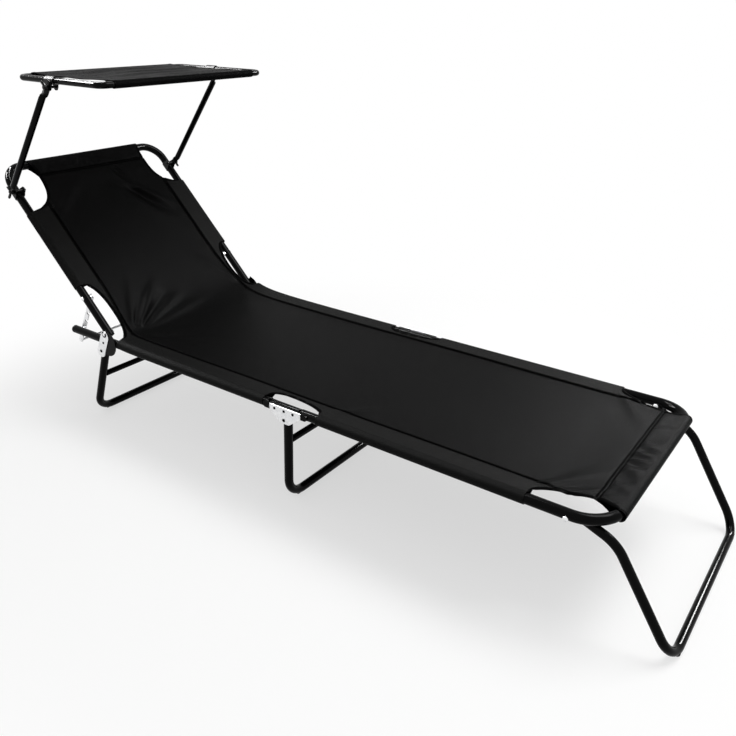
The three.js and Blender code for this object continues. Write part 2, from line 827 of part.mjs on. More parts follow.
// The foot leg: flat end at the pivot, a run that dips a little, bend, slope, then the corner on the floor
function footLegTube(side) {
  const y = side.sign * foot_leg_y;
  const dip = new THREE.Vector3(Math.cos(foot_leg_dip * degree), 0, -Math.sin(foot_leg_dip * degree));
  const pin = at(foot_leg_pivot, y, foot_leg_pivot_level);
  const swell_end = pin.clone().addScaledVector(dip, foot_leg_tab_length);
  const knee = pin.clone().addScaledVector(dip, foot_leg_knee_reach);
  const floor_x = knee.x + (knee.z - foot_leg_tube_radius) / Math.tan(foot_leg_slope * degree);
  const corner = at(floor_x, y, foot_leg_tube_radius);
  const end = at(floor_x, side.sign * (foot_leg_y - leg_corner_radius - leg_joint_run), foot_leg_tube_radius);
  const upper = new BentPath([swell_end, knee, corner], foot_leg_bend_radius);
  const lower = new BentPath([knee, corner, end], leg_corner_radius);
  const line = [...upper.stations.slice(0, -1), ...lower.stations.slice(1)];
  const round = (radius) => line.map((station) => ({ ...station, width: radius, thickness: radius }));
  const thin = new THREE.Vector3(0, side.sign, 0);
  const tab_y = foot_leg_tab_outer - foot_leg_tab_thickness * half;
  const tab = flatEnd(
    at(foot_leg_pivot, side.sign * tab_y, foot_leg_pivot_level), dip,
    foot_leg_tab_height * half, foot_leg_tab_thickness * half,
    foot_leg_tab_length * half, foot_leg_tab_length * half, foot_leg_tube_radius,
    thin.clone().multiplyScalar(foot_leg_y - tab_y),
  );
  const bore = round(foot_leg_tube_radius - leg_tube_wall);
  const mouth = bore[bore.length - 1];
  bore[bore.length - 1] = { ...mouth, at: mouth.at.clone().addScaledVector(mouth.along, overrun) };
  const solid = swept([...tab, ...round(foot_leg_tube_radius).slice(1)], thin)
    .subtract(swept(bore, thin, bore_sides))
    .subtract(pinHole(pin.x, pin.z, rivet_radius, side, foot_leg_tab_inner, foot_leg_tab_outer));
  return { solid, floor_x };
}

add("foot_frame", footFrame(), black_coat);
const foot_bar_half = foot_leg_y - leg_corner_radius - leg_joint_run - gap;
for (const side of sides) {
  const pin = rivet(foot_leg_pivot, foot_leg_pivot_level, side, foot_leg_tab_inner, rail_outside);
  const { solid, floor_x } = footLegTube(side);
  add(`foot_tongue_${side.name}`, tongue(link_pivot_foot, link_pivot_foot + tongue_hold, side), black_coat);
  add(`foot_leg_pivot_${side.name}`, pin, galvanised);
  add(`foot_leg_tube_${side.name}`, solid, black_coat);
  if (side.sign > 0) {
    add("foot_leg_floor_bar", floorBar(floor_x, foot_leg_tube_radius, foot_bar_half), black_coat);
  }
}

// Clips: a strap bent round a tube with two ears, crossed by a wing screw
// The clip is modelled round a tube along X at the origin, with its ears upwards
function clipSolid(tube_radius, screw_at, clip_width) {
  const inside = tube_radius + gap;
  const outside = inside + clip_thickness;
  const top = screw_at + clip_ear_rise;
  const profile = new THREE.Shape();
  profile.absarc(0, 0, outside, 0, half_turn * degree, true);
  profile.lineTo(-outside, top);
  profile.lineTo(-inside, top);
  profile.absarc(0, 0, inside, half_turn * degree, 0, false);
  profile.lineTo(inside, top);
  profile.lineTo(outside, top);
  profile.closePath();
  const bent = extruded(profile, clip_width);
  bent.translate(0, 0, -clip_width * half);
  bent.rotateX(90 * degree);
  bent.rotateZ(90 * degree);
  const ear = new THREE.Shape();
  const wide = clip_width * half;
  const narrow = clip_ear_width * half;
  ear.moveTo(-narrow, -outside - overrun);
  ear.lineTo(narrow, -outside - overrun);
  ear.lineTo(wide, -tube_radius * half);
  ear.lineTo(wide, tube_radius * half);
  ear.lineTo(narrow, screw_at);
  ear.absarc(0, screw_at, narrow, 0, half_turn * degree, false);
  ear.lineTo(-wide, tube_radius * half);
  ear.lineTo(-wide, -tube_radius * half);
  ear.closePath();
  const across = (outside + overrun) * 2;
  const prism = extruded(ear, across);
  prism.rotateX(90 * degree);
  prism.translate(0, across * half, 0);
  const hole = new THREE.CylinderGeometry(screw_radius + gap, screw_radius + gap, across, pin_sides);
  hole.translate(0, 0, screw_at);
  return { solid: solidOf(bent).intersect(solidOf(prism)).subtract(solidOf(hole)), screw_at, outside };
}

// Places a solid modelled at the origin: lean in the XZ plane, then the move
function placed(solid, lean, where) {
  const geometry = geometryOf(solid);
  geometry.rotateY(lean);
  geometry.translate(where.x, where.y, where.z);
  return solidOf(geometry);
}

// The same solid on the other side of the middle plane
function mirrored(solid) {
  const geometry = geometryOf(solid);
  geometry.scale(1, -1, 1);
  const index = Array.from(geometry.index.array);
  for (let i = 0; i < index.length; i += 3) {
    [index[i + 1], index[i + 2]] = [index[i + 2], index[i + 1]];
  }
  geometry.setIndex(index);
  return solidOf(geometry);
}

// A wing screw along Y: shank through the clip, hub and two rounded wings that splay outwards
function wingScrew(where, side, shank_inner, seat) {
  const left = sides[1];
  const hub_from = seat + gap;
  const shank = sidePin(0, 0, screw_radius, left, shank_inner, hub_from + knob_hub_length * half);
  const hub = new THREE.CylinderGeometry(knob_hub_radius, knob_neck_radius, knob_hub_length, pin_sides);
  hub.translate(0, hub_from + knob_hub_length * half, 0);
  const wings = [knob_turn, knob_turn + half_turn].map((turn) => {
    const outline = new THREE.Shape();
    outline.absarc(knob_wing_span, 0, knob_wing_width * half, -90 * degree, 90 * degree, false);
    outline.lineTo(0, knob_neck_radius * half);
    outline.lineTo(0, -knob_neck_radius * half);
    outline.closePath();
    const wing = extruded(outline, knob_wing_thickness);
    wing.rotateX(90 * degree);
    wing.rotateZ(knob_splay * degree);
    wing.translate(0, hub_from + knob_wing_from + knob_wing_thickness, 0);
    wing.rotateY(turn * degree);
    return solidOf(wing);
  });
  const screw = placed(joined([shank, solidOf(hub), ...wings]), 0, where);
  return side.sign > 0 ? screw : mirrored(screw);
}

const lower_clip = clipSolid(frame_tube_radius, lower_screw_at, lower_clip_width);
const upper_clip = clipSolid(canopy_tube_radius, upper_screw_at, upper_clip_width);
const canopy_lean = canopy_tilt * degree;

// Places on the canopy: forward from its middle, across, and above it
function onCanopy(forward, across, rise) {
  return at(
    -canopy_centre_back + forward * Math.cos(canopy_lean) + rise * Math.sin(canopy_lean),
    across,
    canopy_level - forward * Math.sin(canopy_lean) + rise * Math.cos(canopy_lean),
  );
}

const lower_bolt = onBack(arm_clip_along, 0, lower_clip.screw_at);
const upper_bolt = onCanopy(canopy_clip_ahead, 0, -upper_clip.screw_at);
const lower_tab_inner = rail_y + lower_clip.outside + gap;
const lower_tab_outer = lower_tab_inner + arm_tab_thickness;
const upper_tab_inner = canopy_width * half + upper_clip.outside + gap;
const upper_tab_outer = upper_tab_inner + arm_tab_thickness;
const lower_screw_tip = rail_y - lower_clip.outside - overrun;
const upper_screw_tip = canopy_width * half - upper_clip.outside - overrun;

// The arm: flat ends beside the clips, leaning a little outwards towards the backrest
function canopyArm(side) {
  const half_flat = arm_tab_thickness * half;
  const lower = at(lower_bolt.x, side.sign * (lower_tab_inner + half_flat), lower_bolt.z);
  const upper = at(upper_bolt.x, side.sign * (upper_tab_inner + half_flat), upper_bolt.z);
  const along = at(upper.x - lower.x, 0, upper.z - lower.z).normalize();
  const thin = new THREE.Vector3(0, side.sign, 0);
  const shift = thin.clone().multiplyScalar(arm_radius - half_flat);
  const back = along.clone().negate();
  const ending = (pin, way, flat) => flatEnd(
    pin, way, arm_tab_width * half, half_flat, flat, arm_crimp_length, arm_radius, shift,
  );
  const top = upper.clone().addScaledVector(along, arm_top_reach - arm_tab_width * half);
  const stations = [
    ...ending(lower, along, arm_tab_width * half),
    ...ending(top, back, arm_top_reach + arm_tab_width * half).reverse().map((one) => ({ ...one, along })),
  ];
  const round = stations.filter((one) => Math.abs(one.thickness - arm_radius) < tiny);
  const bore = round.map((one, i) => ({
    ...one,
    at: one.at.clone().addScaledVector(along, i === 0 ? arm_wall : -arm_wall),
    width: arm_radius - arm_wall,
    thickness: arm_radius - arm_wall,
  }));
  const vent = bore[0].at.clone().addScaledVector(along, arm_crimp_length);
  const vent_y = Math.abs(vent.y);
  return swept(stations, thin)
    .subtract(swept(bore, thin, bore_sides))
    .subtract(sidePin(vent.x, vent.z, arm_wall, side, vent_y - arm_radius - overrun, vent_y))
    .subtract(pinHole(lower.x, lower.z, screw_radius, side, lower_tab_inner, lower_tab_outer))
    .subtract(pinHole(upper.x, upper.z, screw_radius, side, upper_tab_inner, upper_tab_outer));
}

function canopyFrame() {
  const x = canopy_depth * half;
  const y = canopy_width * half;
  const join_at = -y * half;
  const corners = [
    onCanopy(-x, join_at, 0),
    onCanopy(-x, y, 0),
    onCanopy(x, y, 0),
    onCanopy(x, -y, 0),
    onCanopy(-x, -y, 0),
    onCanopy(-x, join_at - gap, 0),
  ];
  return tube(corners, canopy_tube_radius, canopy_tube_wall, canopy_corner_radius);
}

for (const side of sides) {
  const low_at = onBack(arm_clip_along, side.sign * rail_y, 0);
  const high_at = onCanopy(canopy_clip_ahead, side.sign * canopy_width * half, 0);
  const low_screw = wingScrew(lower_bolt, side, lower_screw_tip, lower_tab_outer);
  const high_screw = wingScrew(upper_bolt, side, upper_screw_tip, upper_tab_outer);
  add(`lower_clip_${side.name}`, placed(lower_clip.solid, back_angle * degree, low_at), black_plastic);
  add(`upper_clip_${side.name}`, placed(upper_clip.solid, canopy_lean + Math.PI, high_at), black_plastic);
  add(`canopy_arm_${side.name}`, canopyArm(side), black_coat);
  add(`lower_wing_screw_${side.name}`, low_screw, black_plastic);
  add(`upper_wing_screw_${side.name}`, high_screw, black_plastic);
}
add("canopy_frame", canopyFrame(), black_coat);

// Fabric: sleeves and sheets are built flat, with X along the tubes, then cut out at the corners
const sleeve_inside = frame_tube_radius + sleeve_clearance;
const sleeve_outside = sleeve_inside + fabric_thickness;
const hem_start_share = 0.6;
const hem_low_share = 0.8;
const down = new THREE.Vector3(0, 0, -fabric_thickness);

// The sleeve round one side tube, with its lower layer sewn to the sheet along the seam
function sideSleeve(x0, x1, level, side) {
  const y = side.sign * rail_y;
  const ring = tube([at(x0, y, level), at(x1, y, level)], sleeve_outside, fabric_thickness);
  const start = rail_y - sleeve_inside * hem_start_share;
  const end = rail_y - side_hem;
  const low = level - sleeve_inside * hem_low_share;
  const high = level + sleeve_outside - sling_sag * half;
  const under = slab(
    (u, v) => {
      const inward = side.sign < 0 ? v : 1 - v;
      const across = side.sign * (start + (end - start) * inward);
      return at(x0 + (x1 - x0) * u, across, low + (high - low) * inward);
    },
    1, hem_steps, down,
  );
  return ring.add(under);
}

// A window as a soft-cornered bite from the outer edge inwards, cut through the whole thickness
function windowSolid(x0, x1, side, depth, level) {
  const outer = rail_y + sleeve_outside + overrun;
  const inner = rail_y - depth;
  const soft = Math.min(depth, (x1 - x0) * half) * window_soft_share;
  const shape = new THREE.Shape();
  shape.moveTo(x0, outer);
  shape.lineTo(x0, rail_inside);
  shape.quadraticCurveTo(x0, inner, x0 + soft, inner);
  shape.lineTo(x1 - soft, inner);
  shape.quadraticCurveTo(x1, inner, x1, rail_inside);
  shape.lineTo(x1, outer);
  shape.closePath();
  const tall = sleeve_outside * 4;
  const geometry = extruded(shape, tall);
  geometry.translate(0, 0, level - tall * half);
  return side.sign > 0 ? solidOf(geometry) : mirrored(solidOf(geometry));
}

// A sheet stretched between the side tubes, sagging between them, held up at a bar when it has one
function stretched(x0, x1, level, bar) {
  const top = level + sleeve_outside;
  return slab(
    (u, v) => {
      const x = x0 + (x1 - x0) * u;
      const across = 2 * v - 1;
      const bow = 1 - across * across;
      const from_bar = bar === null ? 1 : Math.min(1, Math.abs(x - bar) / bar_stiff_reach);
      return at(x, rail_y * across, top - sling_sag * bow * smooth(from_bar));
    },
    sheet_steps, sheet_steps, down,
  );
}

function barSleeve(x, level) {
  const run = [at(x, -bar_sleeve_half, level), at(x, bar_sleeve_half, level)];
  return tube(run, sleeve_outside, fabric_thickness);
}

// The part of a sheet that wraps a bar is cut clear of the bar itself
function clearOfBar(solid, x, level) {
  return solid.subtract(tube([at(x, -rail_y, level), at(x, rail_y, level)], sleeve_inside, 0));
}

function clearOfRails(solid, x0, x1, level) {
  return sides.reduce((whole, side) => {
    const y = side.sign * rail_y;
    return whole.subtract(tube([at(x0 - overrun, y, level), at(x1 + overrun, y, level)], sleeve_inside, 0));
  }, solid);
}

function sling(start, end, sleeve, level, bar, windows) {
  const pieces = [stretched(start, end, level, bar)];
  for (const side of sides) {
    pieces.push(sideSleeve(sleeve[0], sleeve[1], level, side));
  }
  if (bar !== null) {
    pieces.push(barSleeve(bar, level));
  }
  let whole = joined(pieces);
  whole = clearOfRails(whole, Math.min(start, end), Math.max(start, end), level);
  if (bar !== null) {
    whole = clearOfBar(whole, bar, level);
  }
  for (const side of sides) {
    for (const [x0, x1, depth] of windows) {
      whole = whole.subtract(windowSolid(x0, x1, side, depth, level));
    }
  }
  return whole;
}

const beyond_bar = sleeve_outside + overrun;
const seat_sling = sling(
  seat_sling_start, seat_sling_end, [seat_sleeve_start, seat_sleeve_end], seat_level, null,
  [
    [seat_sling_start - back_sleeve_start, seat_sleeve_start, hinge_window_depth],
    [seat_sleeve_end, foot_sleeve_start, fold_window_depth],
  ],
);
const foot_sling = sling(
  foot_sling_start, foot_reach, [foot_sleeve_start, foot_sleeve_end], seat_level, foot_reach,
  [
    [seat_sleeve_end, foot_sleeve_start, fold_window_depth],
    [foot_sleeve_end, foot_reach + beyond_bar, corner_window_depth],
  ],
);
const back_sling = sling(
  -back_length, back_sling_start, [-back_sleeve_end, -back_sleeve_start], back_pivot_level, -back_length,
  [
    [-back_length - beyond_bar, -back_sleeve_end, corner_window_depth],
    [-back_sleeve_start, back_sling_start + side_hem, hinge_window_depth],
  ],
);
add("seat_sling", seat_sling, sling_cloth);
add("foot_sling", foot_sling, sling_cloth);
add("back_sling", leanBack(back_sling), sling_cloth);

// Canopy fabric: sleeves on the front and rear bars, a sheet between them
function canopyFabric() {
  const x = canopy_depth * half;
  const inside = canopy_tube_radius + sleeve_clearance;
  const outside = inside + fabric_thickness;
  const reach = canopy_width * half - canopy_corner_radius - canopy_cloth_short;
  const sheet = slab(
    (u, v) => {
      const bow = 1 - (2 * u - 1) * (2 * u - 1);
      return at(-x + 2 * x * u, -reach + 2 * reach * v, outside - sling_sag * half * bow);
    },
    sheet_steps, 2, down,
  );
  const pieces = [sheet];
  for (const end of [-x, x]) {
    pieces.push(tube([at(end, -reach, 0), at(end, reach, 0)], outside, fabric_thickness));
  }
  let whole = joined(pieces);
  for (const end of [-x, x]) {
    whole = whole.subtract(tube([at(end, -canopy_width, 0), at(end, canopy_width, 0)], inside, 0));
  }
  return placed(whole, canopy_lean, onCanopy(0, 0, 0));
}

add("canopy_fabric", canopyFabric(), canopy_cloth);

// Origin at the centre of the base
const whole_object = new THREE.Group();
whole_object.add(model);
const box = new THREE.Box3().setFromObject(model);
model.position.set(-(box.min.x + box.max.x) * half, -(box.min.y + box.max.y) * half, -box.min.z);

export default whole_object;
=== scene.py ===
"""Folding sun lounger with a canopy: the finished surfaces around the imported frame, in metres."""
import json
import logging
import math
from dataclasses import dataclass, field, replace
from enum import Enum

import bpy
import numpy as np
from mathutils import Matrix, Vector


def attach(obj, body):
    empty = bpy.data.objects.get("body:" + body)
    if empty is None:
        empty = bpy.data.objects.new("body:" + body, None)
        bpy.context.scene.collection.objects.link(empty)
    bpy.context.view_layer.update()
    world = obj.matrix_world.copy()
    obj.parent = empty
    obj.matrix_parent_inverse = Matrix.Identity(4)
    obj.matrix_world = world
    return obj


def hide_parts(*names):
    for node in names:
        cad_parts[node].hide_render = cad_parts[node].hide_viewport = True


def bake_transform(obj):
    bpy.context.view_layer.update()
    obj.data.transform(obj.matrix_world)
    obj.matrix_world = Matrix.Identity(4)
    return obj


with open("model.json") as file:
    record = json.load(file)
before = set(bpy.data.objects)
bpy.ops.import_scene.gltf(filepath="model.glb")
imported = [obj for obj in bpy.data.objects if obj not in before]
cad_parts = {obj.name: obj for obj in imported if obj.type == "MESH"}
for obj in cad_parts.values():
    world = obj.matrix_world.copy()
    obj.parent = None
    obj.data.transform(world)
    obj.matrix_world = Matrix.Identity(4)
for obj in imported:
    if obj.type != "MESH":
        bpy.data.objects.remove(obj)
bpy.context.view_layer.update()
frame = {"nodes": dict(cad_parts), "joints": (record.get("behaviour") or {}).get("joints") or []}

LOG = logging.getLogger("lounger")
Array = np.ndarray
Faces = list[list[int]]
Skin = tuple[Array, Faces]
Socket = bpy.types.NodeSocket
Colour = tuple[float, float, float, float]
JOINTS = {joint["name"]: joint for joint in frame["joints"]}
PIVOT_X = JOINTS["back_hinge"]["pos_m"][0]
PIVOT_Z = JOINTS["back_hinge"]["pos_m"][2]
BACK_ANGLE = math.radians(45.8)
BACK_COS, BACK_SIN = math.cos(BACK_ANGLE), math.sin(BACK_ANGLE)
RAIL_Y = 0.26
RAIL_RADIUS = 0.011
RAIL_WALL = 0.0012
SEAT_LEVEL = 0.25
CLOTH = 0.0012
FIT = 0.0004
LEG_FACE = 0.25
SMALL_HEAD = 0.0034
SPIGOT_INSET = 0.0016
SPIGOT_REACH = 0.006
WRAP_TURN = math.radians(215.0)
SEAM_BACK, SEAM_SEAT = 0.201, 0.212
SEAM_FROM, SEAM_TO = -0.17, 0.01
NO_SEAM = (9.0, 9.0)
TIP_STEPS = 7


class Side(Enum):
    """The two sides of the lounger, with the sign of their Y."""

    RIGHT = -1
    LEFT = 1

    @property
    def tag(self) -> str:
        """The word that ends the names of this side's pieces."""
        return self.name.lower()


class Slot(Enum):
    """The record's material slots."""

    COAT = "black_coated_steel"
    ZINC = "galvanised_steel"
    PLASTIC = "black_plastic"
    SLING = "sling_fabric"
    CANOPY = "canopy_fabric"


def on_back(along: Array, across: Array, front: Array) -> Array:
    """Places on the backrest: up its slope from the pivot, across, and square to it towards the front.

    Args:
        along: distance up the tubes from the pivot.
        across: distance to the left.
        front: distance in front of the tubes' plane.

    Returns:
        Points of shape (..., 3) with the pivot at x = 0.
    """
    along, across, front = np.broadcast_arrays(along, across, front)
    x = -along * BACK_COS + front * BACK_SIN
    return np.stack([x, across, PIVOT_Z + along * BACK_SIN + front * BACK_COS], axis=-1)


def unit(vectors: Array) -> Array:
    """Vectors divided by their length along the last axis."""
    return vectors / np.maximum(np.linalg.norm(vectors, axis=-1, keepdims=True), 1e-12)


def smooth(share: Array) -> Array:
    """The ease 3s² − 2s³ of a share clipped to 0..1."""
    s = np.clip(share, 0.0, 1.0)
    return s * s * (3.0 - 2.0 * s)


def grid_faces(rows: int, columns: int, ring: bool = False) -> Array:
    """Quads of a grid of rows by columns, numbered row by row.

    Args:
        rows: number of rows of points.
        columns: number of points in a row.
        ring: whether the last point of a row joins the first.

    Returns:
        Index array of shape (n, 4).
    """
    i = np.arange(rows - 1)[:, None]
    j = np.arange(columns if ring else columns - 1)[None, :]
    k = (j + 1) % columns
    corners = [i * columns + j, (i + 1) * columns + j, (i + 1) * columns + k, i * columns + k]
    return np.stack(np.broadcast_arrays(*corners), axis=-1).reshape(-1, 4)


def face_normals(points: Array, quads: Array) -> Array:
    """Area-weighted normals of quads, half the cross product of their diagonals."""
    a, b, c, d = (points[quads[:, k]] for k in range(4))
    return 0.5 * np.cross(c - a, d - b)


def vertex_normals(points: Array, quads: Array) -> Array:
    """Unit normals at the points: the sum of the area-weighted normals of the quads round each.

    Args:
        points: places of shape (n, 3).
        quads: vertex indices of shape (m, 4).

    Returns:
        Directions of shape (n, 3).
    """
    total = np.zeros_like(points)
    normals = face_normals(points, quads)
    for k in range(4):
        np.add.at(total, quads[:, k], normals)
    return unit(total)


def signed_volume(points: Array, faces: Faces) -> float:
    """Volume of a closed mesh, a sixth of the sum of the triple products of its fan triangles.

    Args:
        points: places of shape (n, 3).
        faces: vertex indices of each face.

    Returns:
        Cubic metres, below zero where the faces point inwards.
    """
    volume = 0.0
    sizes = {len(face) for face in faces}
    for size in sizes:
        group = np.array([face for face in faces if len(face) == size])
        first = points[group[:, 0]]
        for k in range(1, size - 1):
            cross = np.cross(points[group[:, k]], points[group[:, k + 1]])
            volume += float((first * cross).sum()) / 6.0
    return volume


def make_piece(name: str, points: Array, faces: Faces, finish: "Finish",
               uv: Array | None = None, sharp: float = 42.0) -> bpy.types.Object:
    """Puts a closed surface into the scene, faces outwards, smooth except at its sharp edges.

    Args:
        name: the piece's name.
        points: places with the backrest pivot at x = 0, shape (n, 3).
        faces: vertex indices of each face.
        finish: the surface finish.
        uv: optional coordinates of shape (n, 2), in metres of cloth.
        sharp: angle in degrees above which an edge stays sharp.

    Returns:
        The new object, at the origin.
    """
    places = np.asarray(points, float) + (PIVOT_X, 0.0, 0.0)
    if signed_volume(places, faces) < 0:
        faces = [face[::-1] for face in faces]
    mesh = bpy.data.meshes.new(name)
    mesh.from_pydata(places.tolist(), [], faces)
    if uv is not None:
        corner = np.zeros(len(mesh.loops), np.int32)
        mesh.loops.foreach_get("vertex_index", corner)
        layer = mesh.uv_layers.new(name="UVMap")
        layer.data.foreach_set("uv", np.asarray(uv, np.float32)[corner].ravel())
    mesh.shade_smooth()
    mesh.set_sharp_from_angle(angle=math.radians(sharp))
    mesh.materials.append(finish.material())
    piece = bpy.data.objects.new(name, mesh)
    bpy.context.scene.collection.objects.link(piece)
    LOG.info("%s: %d faces", name, len(faces))
    return piece


def lofted(rings: Array) -> Skin:
    """Skin over closed rings of points, with a flat face on the first and the last.

    Args:
        rings: points of shape (rings, sides, 3).

    Returns:
        Points and faces of the closed skin.
    """
    count, sides = rings.shape[:2]
    faces = grid_faces(count, sides, ring=True).tolist()
    faces.append(list(range(sides))[::-1])
    faces.append(list(range((count - 1) * sides, count * sides)))
    return rings.reshape(-1, 3), faces


def combined(parts: list[Skin]) -> Skin:
    """Several closed skins as one set of points and faces.

    Args:
        parts: points and faces of each; one that points inwards is turned.

    Returns:
        Points and faces of them all.
    """
    points = np.concatenate([part[0] for part in parts])
    faces: Faces = []
    offset = 0
    for places, own in parts:
        if signed_volume(places, own) < 0:
            own = [face[::-1] for face in own]
        faces.extend([[index + offset for index in face] for face in own])
        offset += len(places)
    return points, faces


def turned(profile: list[tuple[float, float]], centre: tuple[float, float, float],
           axis: Array, sides: int = 28) -> Skin:
    """A turned part: each (radius, height) of the profile is a ring round the axis.

    Args:
        profile: radius and height of each ring, from one end to the other.
        centre: the place of height zero.
        axis: direction of growing height.
        sides: points in a ring.

    Returns:
        Points and faces of the closed skin.
    """
    axis = unit(np.asarray(axis, float))
    other = unit(np.cross(axis, (0.3, 0.9, 0.31)))
    third = np.cross(axis, other)
    angle = np.linspace(0.0, 2.0 * np.pi, sides, endpoint=False)
    spoke = np.cos(angle)[:, None] * other + np.sin(angle)[:, None] * third
    radius, height = np.array(profile, float).T
    rings = centre + radius[:, None, None] * spoke[None] + height[:, None, None] * axis
    return lofted(rings)


def thick_sheet(points: Array, quads: Array, uv: Array, thickness: float) -> tuple[Array, Faces, Array]:
    """Gives a surface its thickness behind its normals and closes it along every open edge.

    The back layer is p − thickness · n, and each edge that only one quad uses gets a rim quad.

    Args:
        points: places on the surface.
        quads: vertex indices of its faces.
        uv: coordinates of the places.
        thickness: distance between the two layers.

    Returns:
        Points, faces and coordinates of the closed sheet.
    """
    used, inverse = np.unique(quads, return_inverse=True)
    quads = inverse.reshape(-1, 4)
    points, uv = points[used], uv[used]
    count = len(points)
    back = points - thickness * vertex_normals(points, quads)
    start = quads.ravel()
    end = np.roll(quads, -1, axis=1).ravel()
    open_edge = ~np.isin(start.astype(np.int64) * count + end, end.astype(np.int64) * count + start)
    a, b = start[open_edge], end[open_edge]
    rim = np.stack([b, a, a + count, b + count], axis=-1)
    faces = np.concatenate([quads, quads[:, ::-1] + count, rim])
    return np.concatenate([points, back]), faces.tolist(), np.concatenate([uv, uv])


def run_length(first: Array, second: Array) -> Array:
    """Distance along a line of two coordinates, measured from its first place."""
    return np.cumsum(np.hypot(np.diff(first, prepend=first[0]), np.diff(second, prepend=second[0])))


def tinted(tone: float, red: float = 1.0, green: float = 1.0, blue: float = 1.0) -> Colour:
    """An opaque colour: a tone times a share for each of red, green and blue."""
    return (tone * red, tone * green, tone * blue, 1.0)


class Nodes:
    """A short way to build a node tree."""

    def __init__(self, tree: bpy.types.NodeTree) -> None:
        """Starts on an empty tree."""
        self.tree = tree

    def add(self, kind: str, links: dict | None = None, **values: object) -> bpy.types.Node:
        """Adds a node, sets its properties and feeds its inputs.

        Args:
            kind: the node's type name.
            links: input name or index to an output socket or a constant.
            values: properties of the node.

        Returns:
            The node.
        """
        node = self.tree.nodes.new(kind)
        for key, value in values.items():
            setattr(node, key, value)
        self.feed(node, links or {})
        return node

    def feed(self, node: bpy.types.Node, links: dict) -> None:
        """Sets inputs of a node, by name or index, each to a constant or another node's output.

        Args:
            node: the node.
            links: input name or index to an output socket or a constant.
        """
        for key, source in links.items():
            if isinstance(source, Socket):
                self.tree.links.new(source, node.inputs[key])
            else:
                node.inputs[key].default_value = source

    def group(self, tree: bpy.types.NodeTree, links: dict) -> bpy.types.Node:
        """Adds a node group with its inputs."""
        return self.add("ShaderNodeGroup", links, node_tree=tree)

    def maths(self, operation: str, *inputs: object) -> Socket:
        """A Math node's value for an operation on sockets or numbers."""
        return self.add("ShaderNodeMath", dict(enumerate(inputs)), operation=operation).outputs[0]

    def ramp(self, value: Socket, low: float, high: float, to_low: float = 0.0,
             to_high: float = 1.0) -> Socket:
        """A value mapped from low..high to to_low..to_high, with eased ends."""
        links = {"Value": value, "From Min": low, "From Max": high, "To Min": to_low, "To Max": to_high}
        return self.add("ShaderNodeMapRange", links, interpolation_type="SMOOTHSTEP").outputs["Result"]

    def noise(self, vector: Socket, scale: float, detail: float = 3.0) -> Socket:
        """A noise value at a scale per metre."""
        links = {"Vector": vector, "Scale": scale, "Detail": detail}
        return self.add("ShaderNodeTexNoise", links).outputs["Fac"]

    def stretched(self, vector: Socket, scale: tuple[float, float, float]) -> Socket:
        """A vector scaled by its own amount along each axis."""
        return self.add("ShaderNodeMapping", {"Vector": vector, "Scale": scale}).outputs[0]

    def mix(self, share: object, first: object, second: object) -> Socket:
        """A colour between two, by a share."""
        return self.add("ShaderNodeMix", {0: share, 6: first, 7: second}, data_type="RGBA").outputs[2]

    def place(self) -> Socket:
        """The place on the object, in metres."""
        return self.add("ShaderNodeTexCoord").outputs["Object"]

    def seen(self) -> Socket:
        """1 for rays of the camera and of shiny or clear surfaces, and 0 for all others."""
        path = self.add("ShaderNodeLightPath").outputs
        shiny = self.maths("MAXIMUM", path["Is Glossy Ray"], path["Is Transmission Ray"])
        return self.maths("MAXIMUM", path["Is Camera Ray"], shiny)


def shader_group(name: str, inputs: dict[str, float],
                 outputs: list[str]) -> tuple[bpy.types.NodeTree, Nodes, dict, bpy.types.Node]:
    """Makes an empty shader node group with a Vector input, number inputs and value outputs.

    Args:
        name: the group's name.
        inputs: number inputs and their defaults.
        outputs: names of the value outputs.

    Returns:
        The tree, its builder, its input sockets by name, and its output node.
    """
    tree = bpy.data.node_groups.new(name, "ShaderNodeTree")
    tree.interface.new_socket("Vector", in_out="INPUT", socket_type="NodeSocketVector")
    for key, value in inputs.items():
        socket = tree.interface.new_socket(key, in_out="INPUT", socket_type="NodeSocketFloat")
        socket.default_value = value
    for key in outputs:
        tree.interface.new_socket(key, in_out="OUTPUT", socket_type="NodeSocketFloat")
    nodes = Nodes(tree)
    entry = nodes.add("NodeGroupInput")
    sockets = {socket.name: socket for socket in entry.outputs}
    return tree, nodes, sockets, nodes.add("NodeGroupOutput")


def weave_group() -> bpy.types.NodeTree:
    """Plain weave from cloth coordinates: crossed rounded threads |sin| with slubs from noise."""
    name = "plain weave"
    found = bpy.data.node_groups.get(name)
    if found:
        return found
    inputs = {"Threads per metre": 1400.0, "Slubs": 0.3}
    tree, nodes, inp, out = shader_group(name, inputs, ["Height", "Tone"])
    split = nodes.add("ShaderNodeSeparateXYZ", {0: inp["Vector"]}).outputs
    turns = nodes.maths("MULTIPLY", inp["Threads per metre"], math.pi)
    wave_x, wave_y = (nodes.maths("SINE", nodes.maths("MULTIPLY", split[axis], turns)) for axis in "XY")
    over = nodes.maths("GREATER_THAN", nodes.maths("MULTIPLY", wave_x, wave_y), 0.0)
    warp = nodes.maths("MULTIPLY", over, nodes.maths("ABSOLUTE", wave_x))
    weft = nodes.maths("MULTIPLY", nodes.maths("SUBTRACT", 1.0, over), nodes.maths("ABSOLUTE", wave_y))
    height = nodes.maths("ADD", warp, weft)
    slub = nodes.noise(nodes.stretched(inp["Vector"], (900.0, 60.0, 1.0)), scale=1.0)
    spread = nodes.maths("MULTIPLY", nodes.maths("SUBTRACT", slub, 0.5), inp["Slubs"])
    nodes.feed(out, {
        "Height": nodes.maths("ADD", height, spread),
        "Tone": nodes.maths("ADD", spread, nodes.maths("MULTIPLY", height, 0.3)),
    })
    return tree


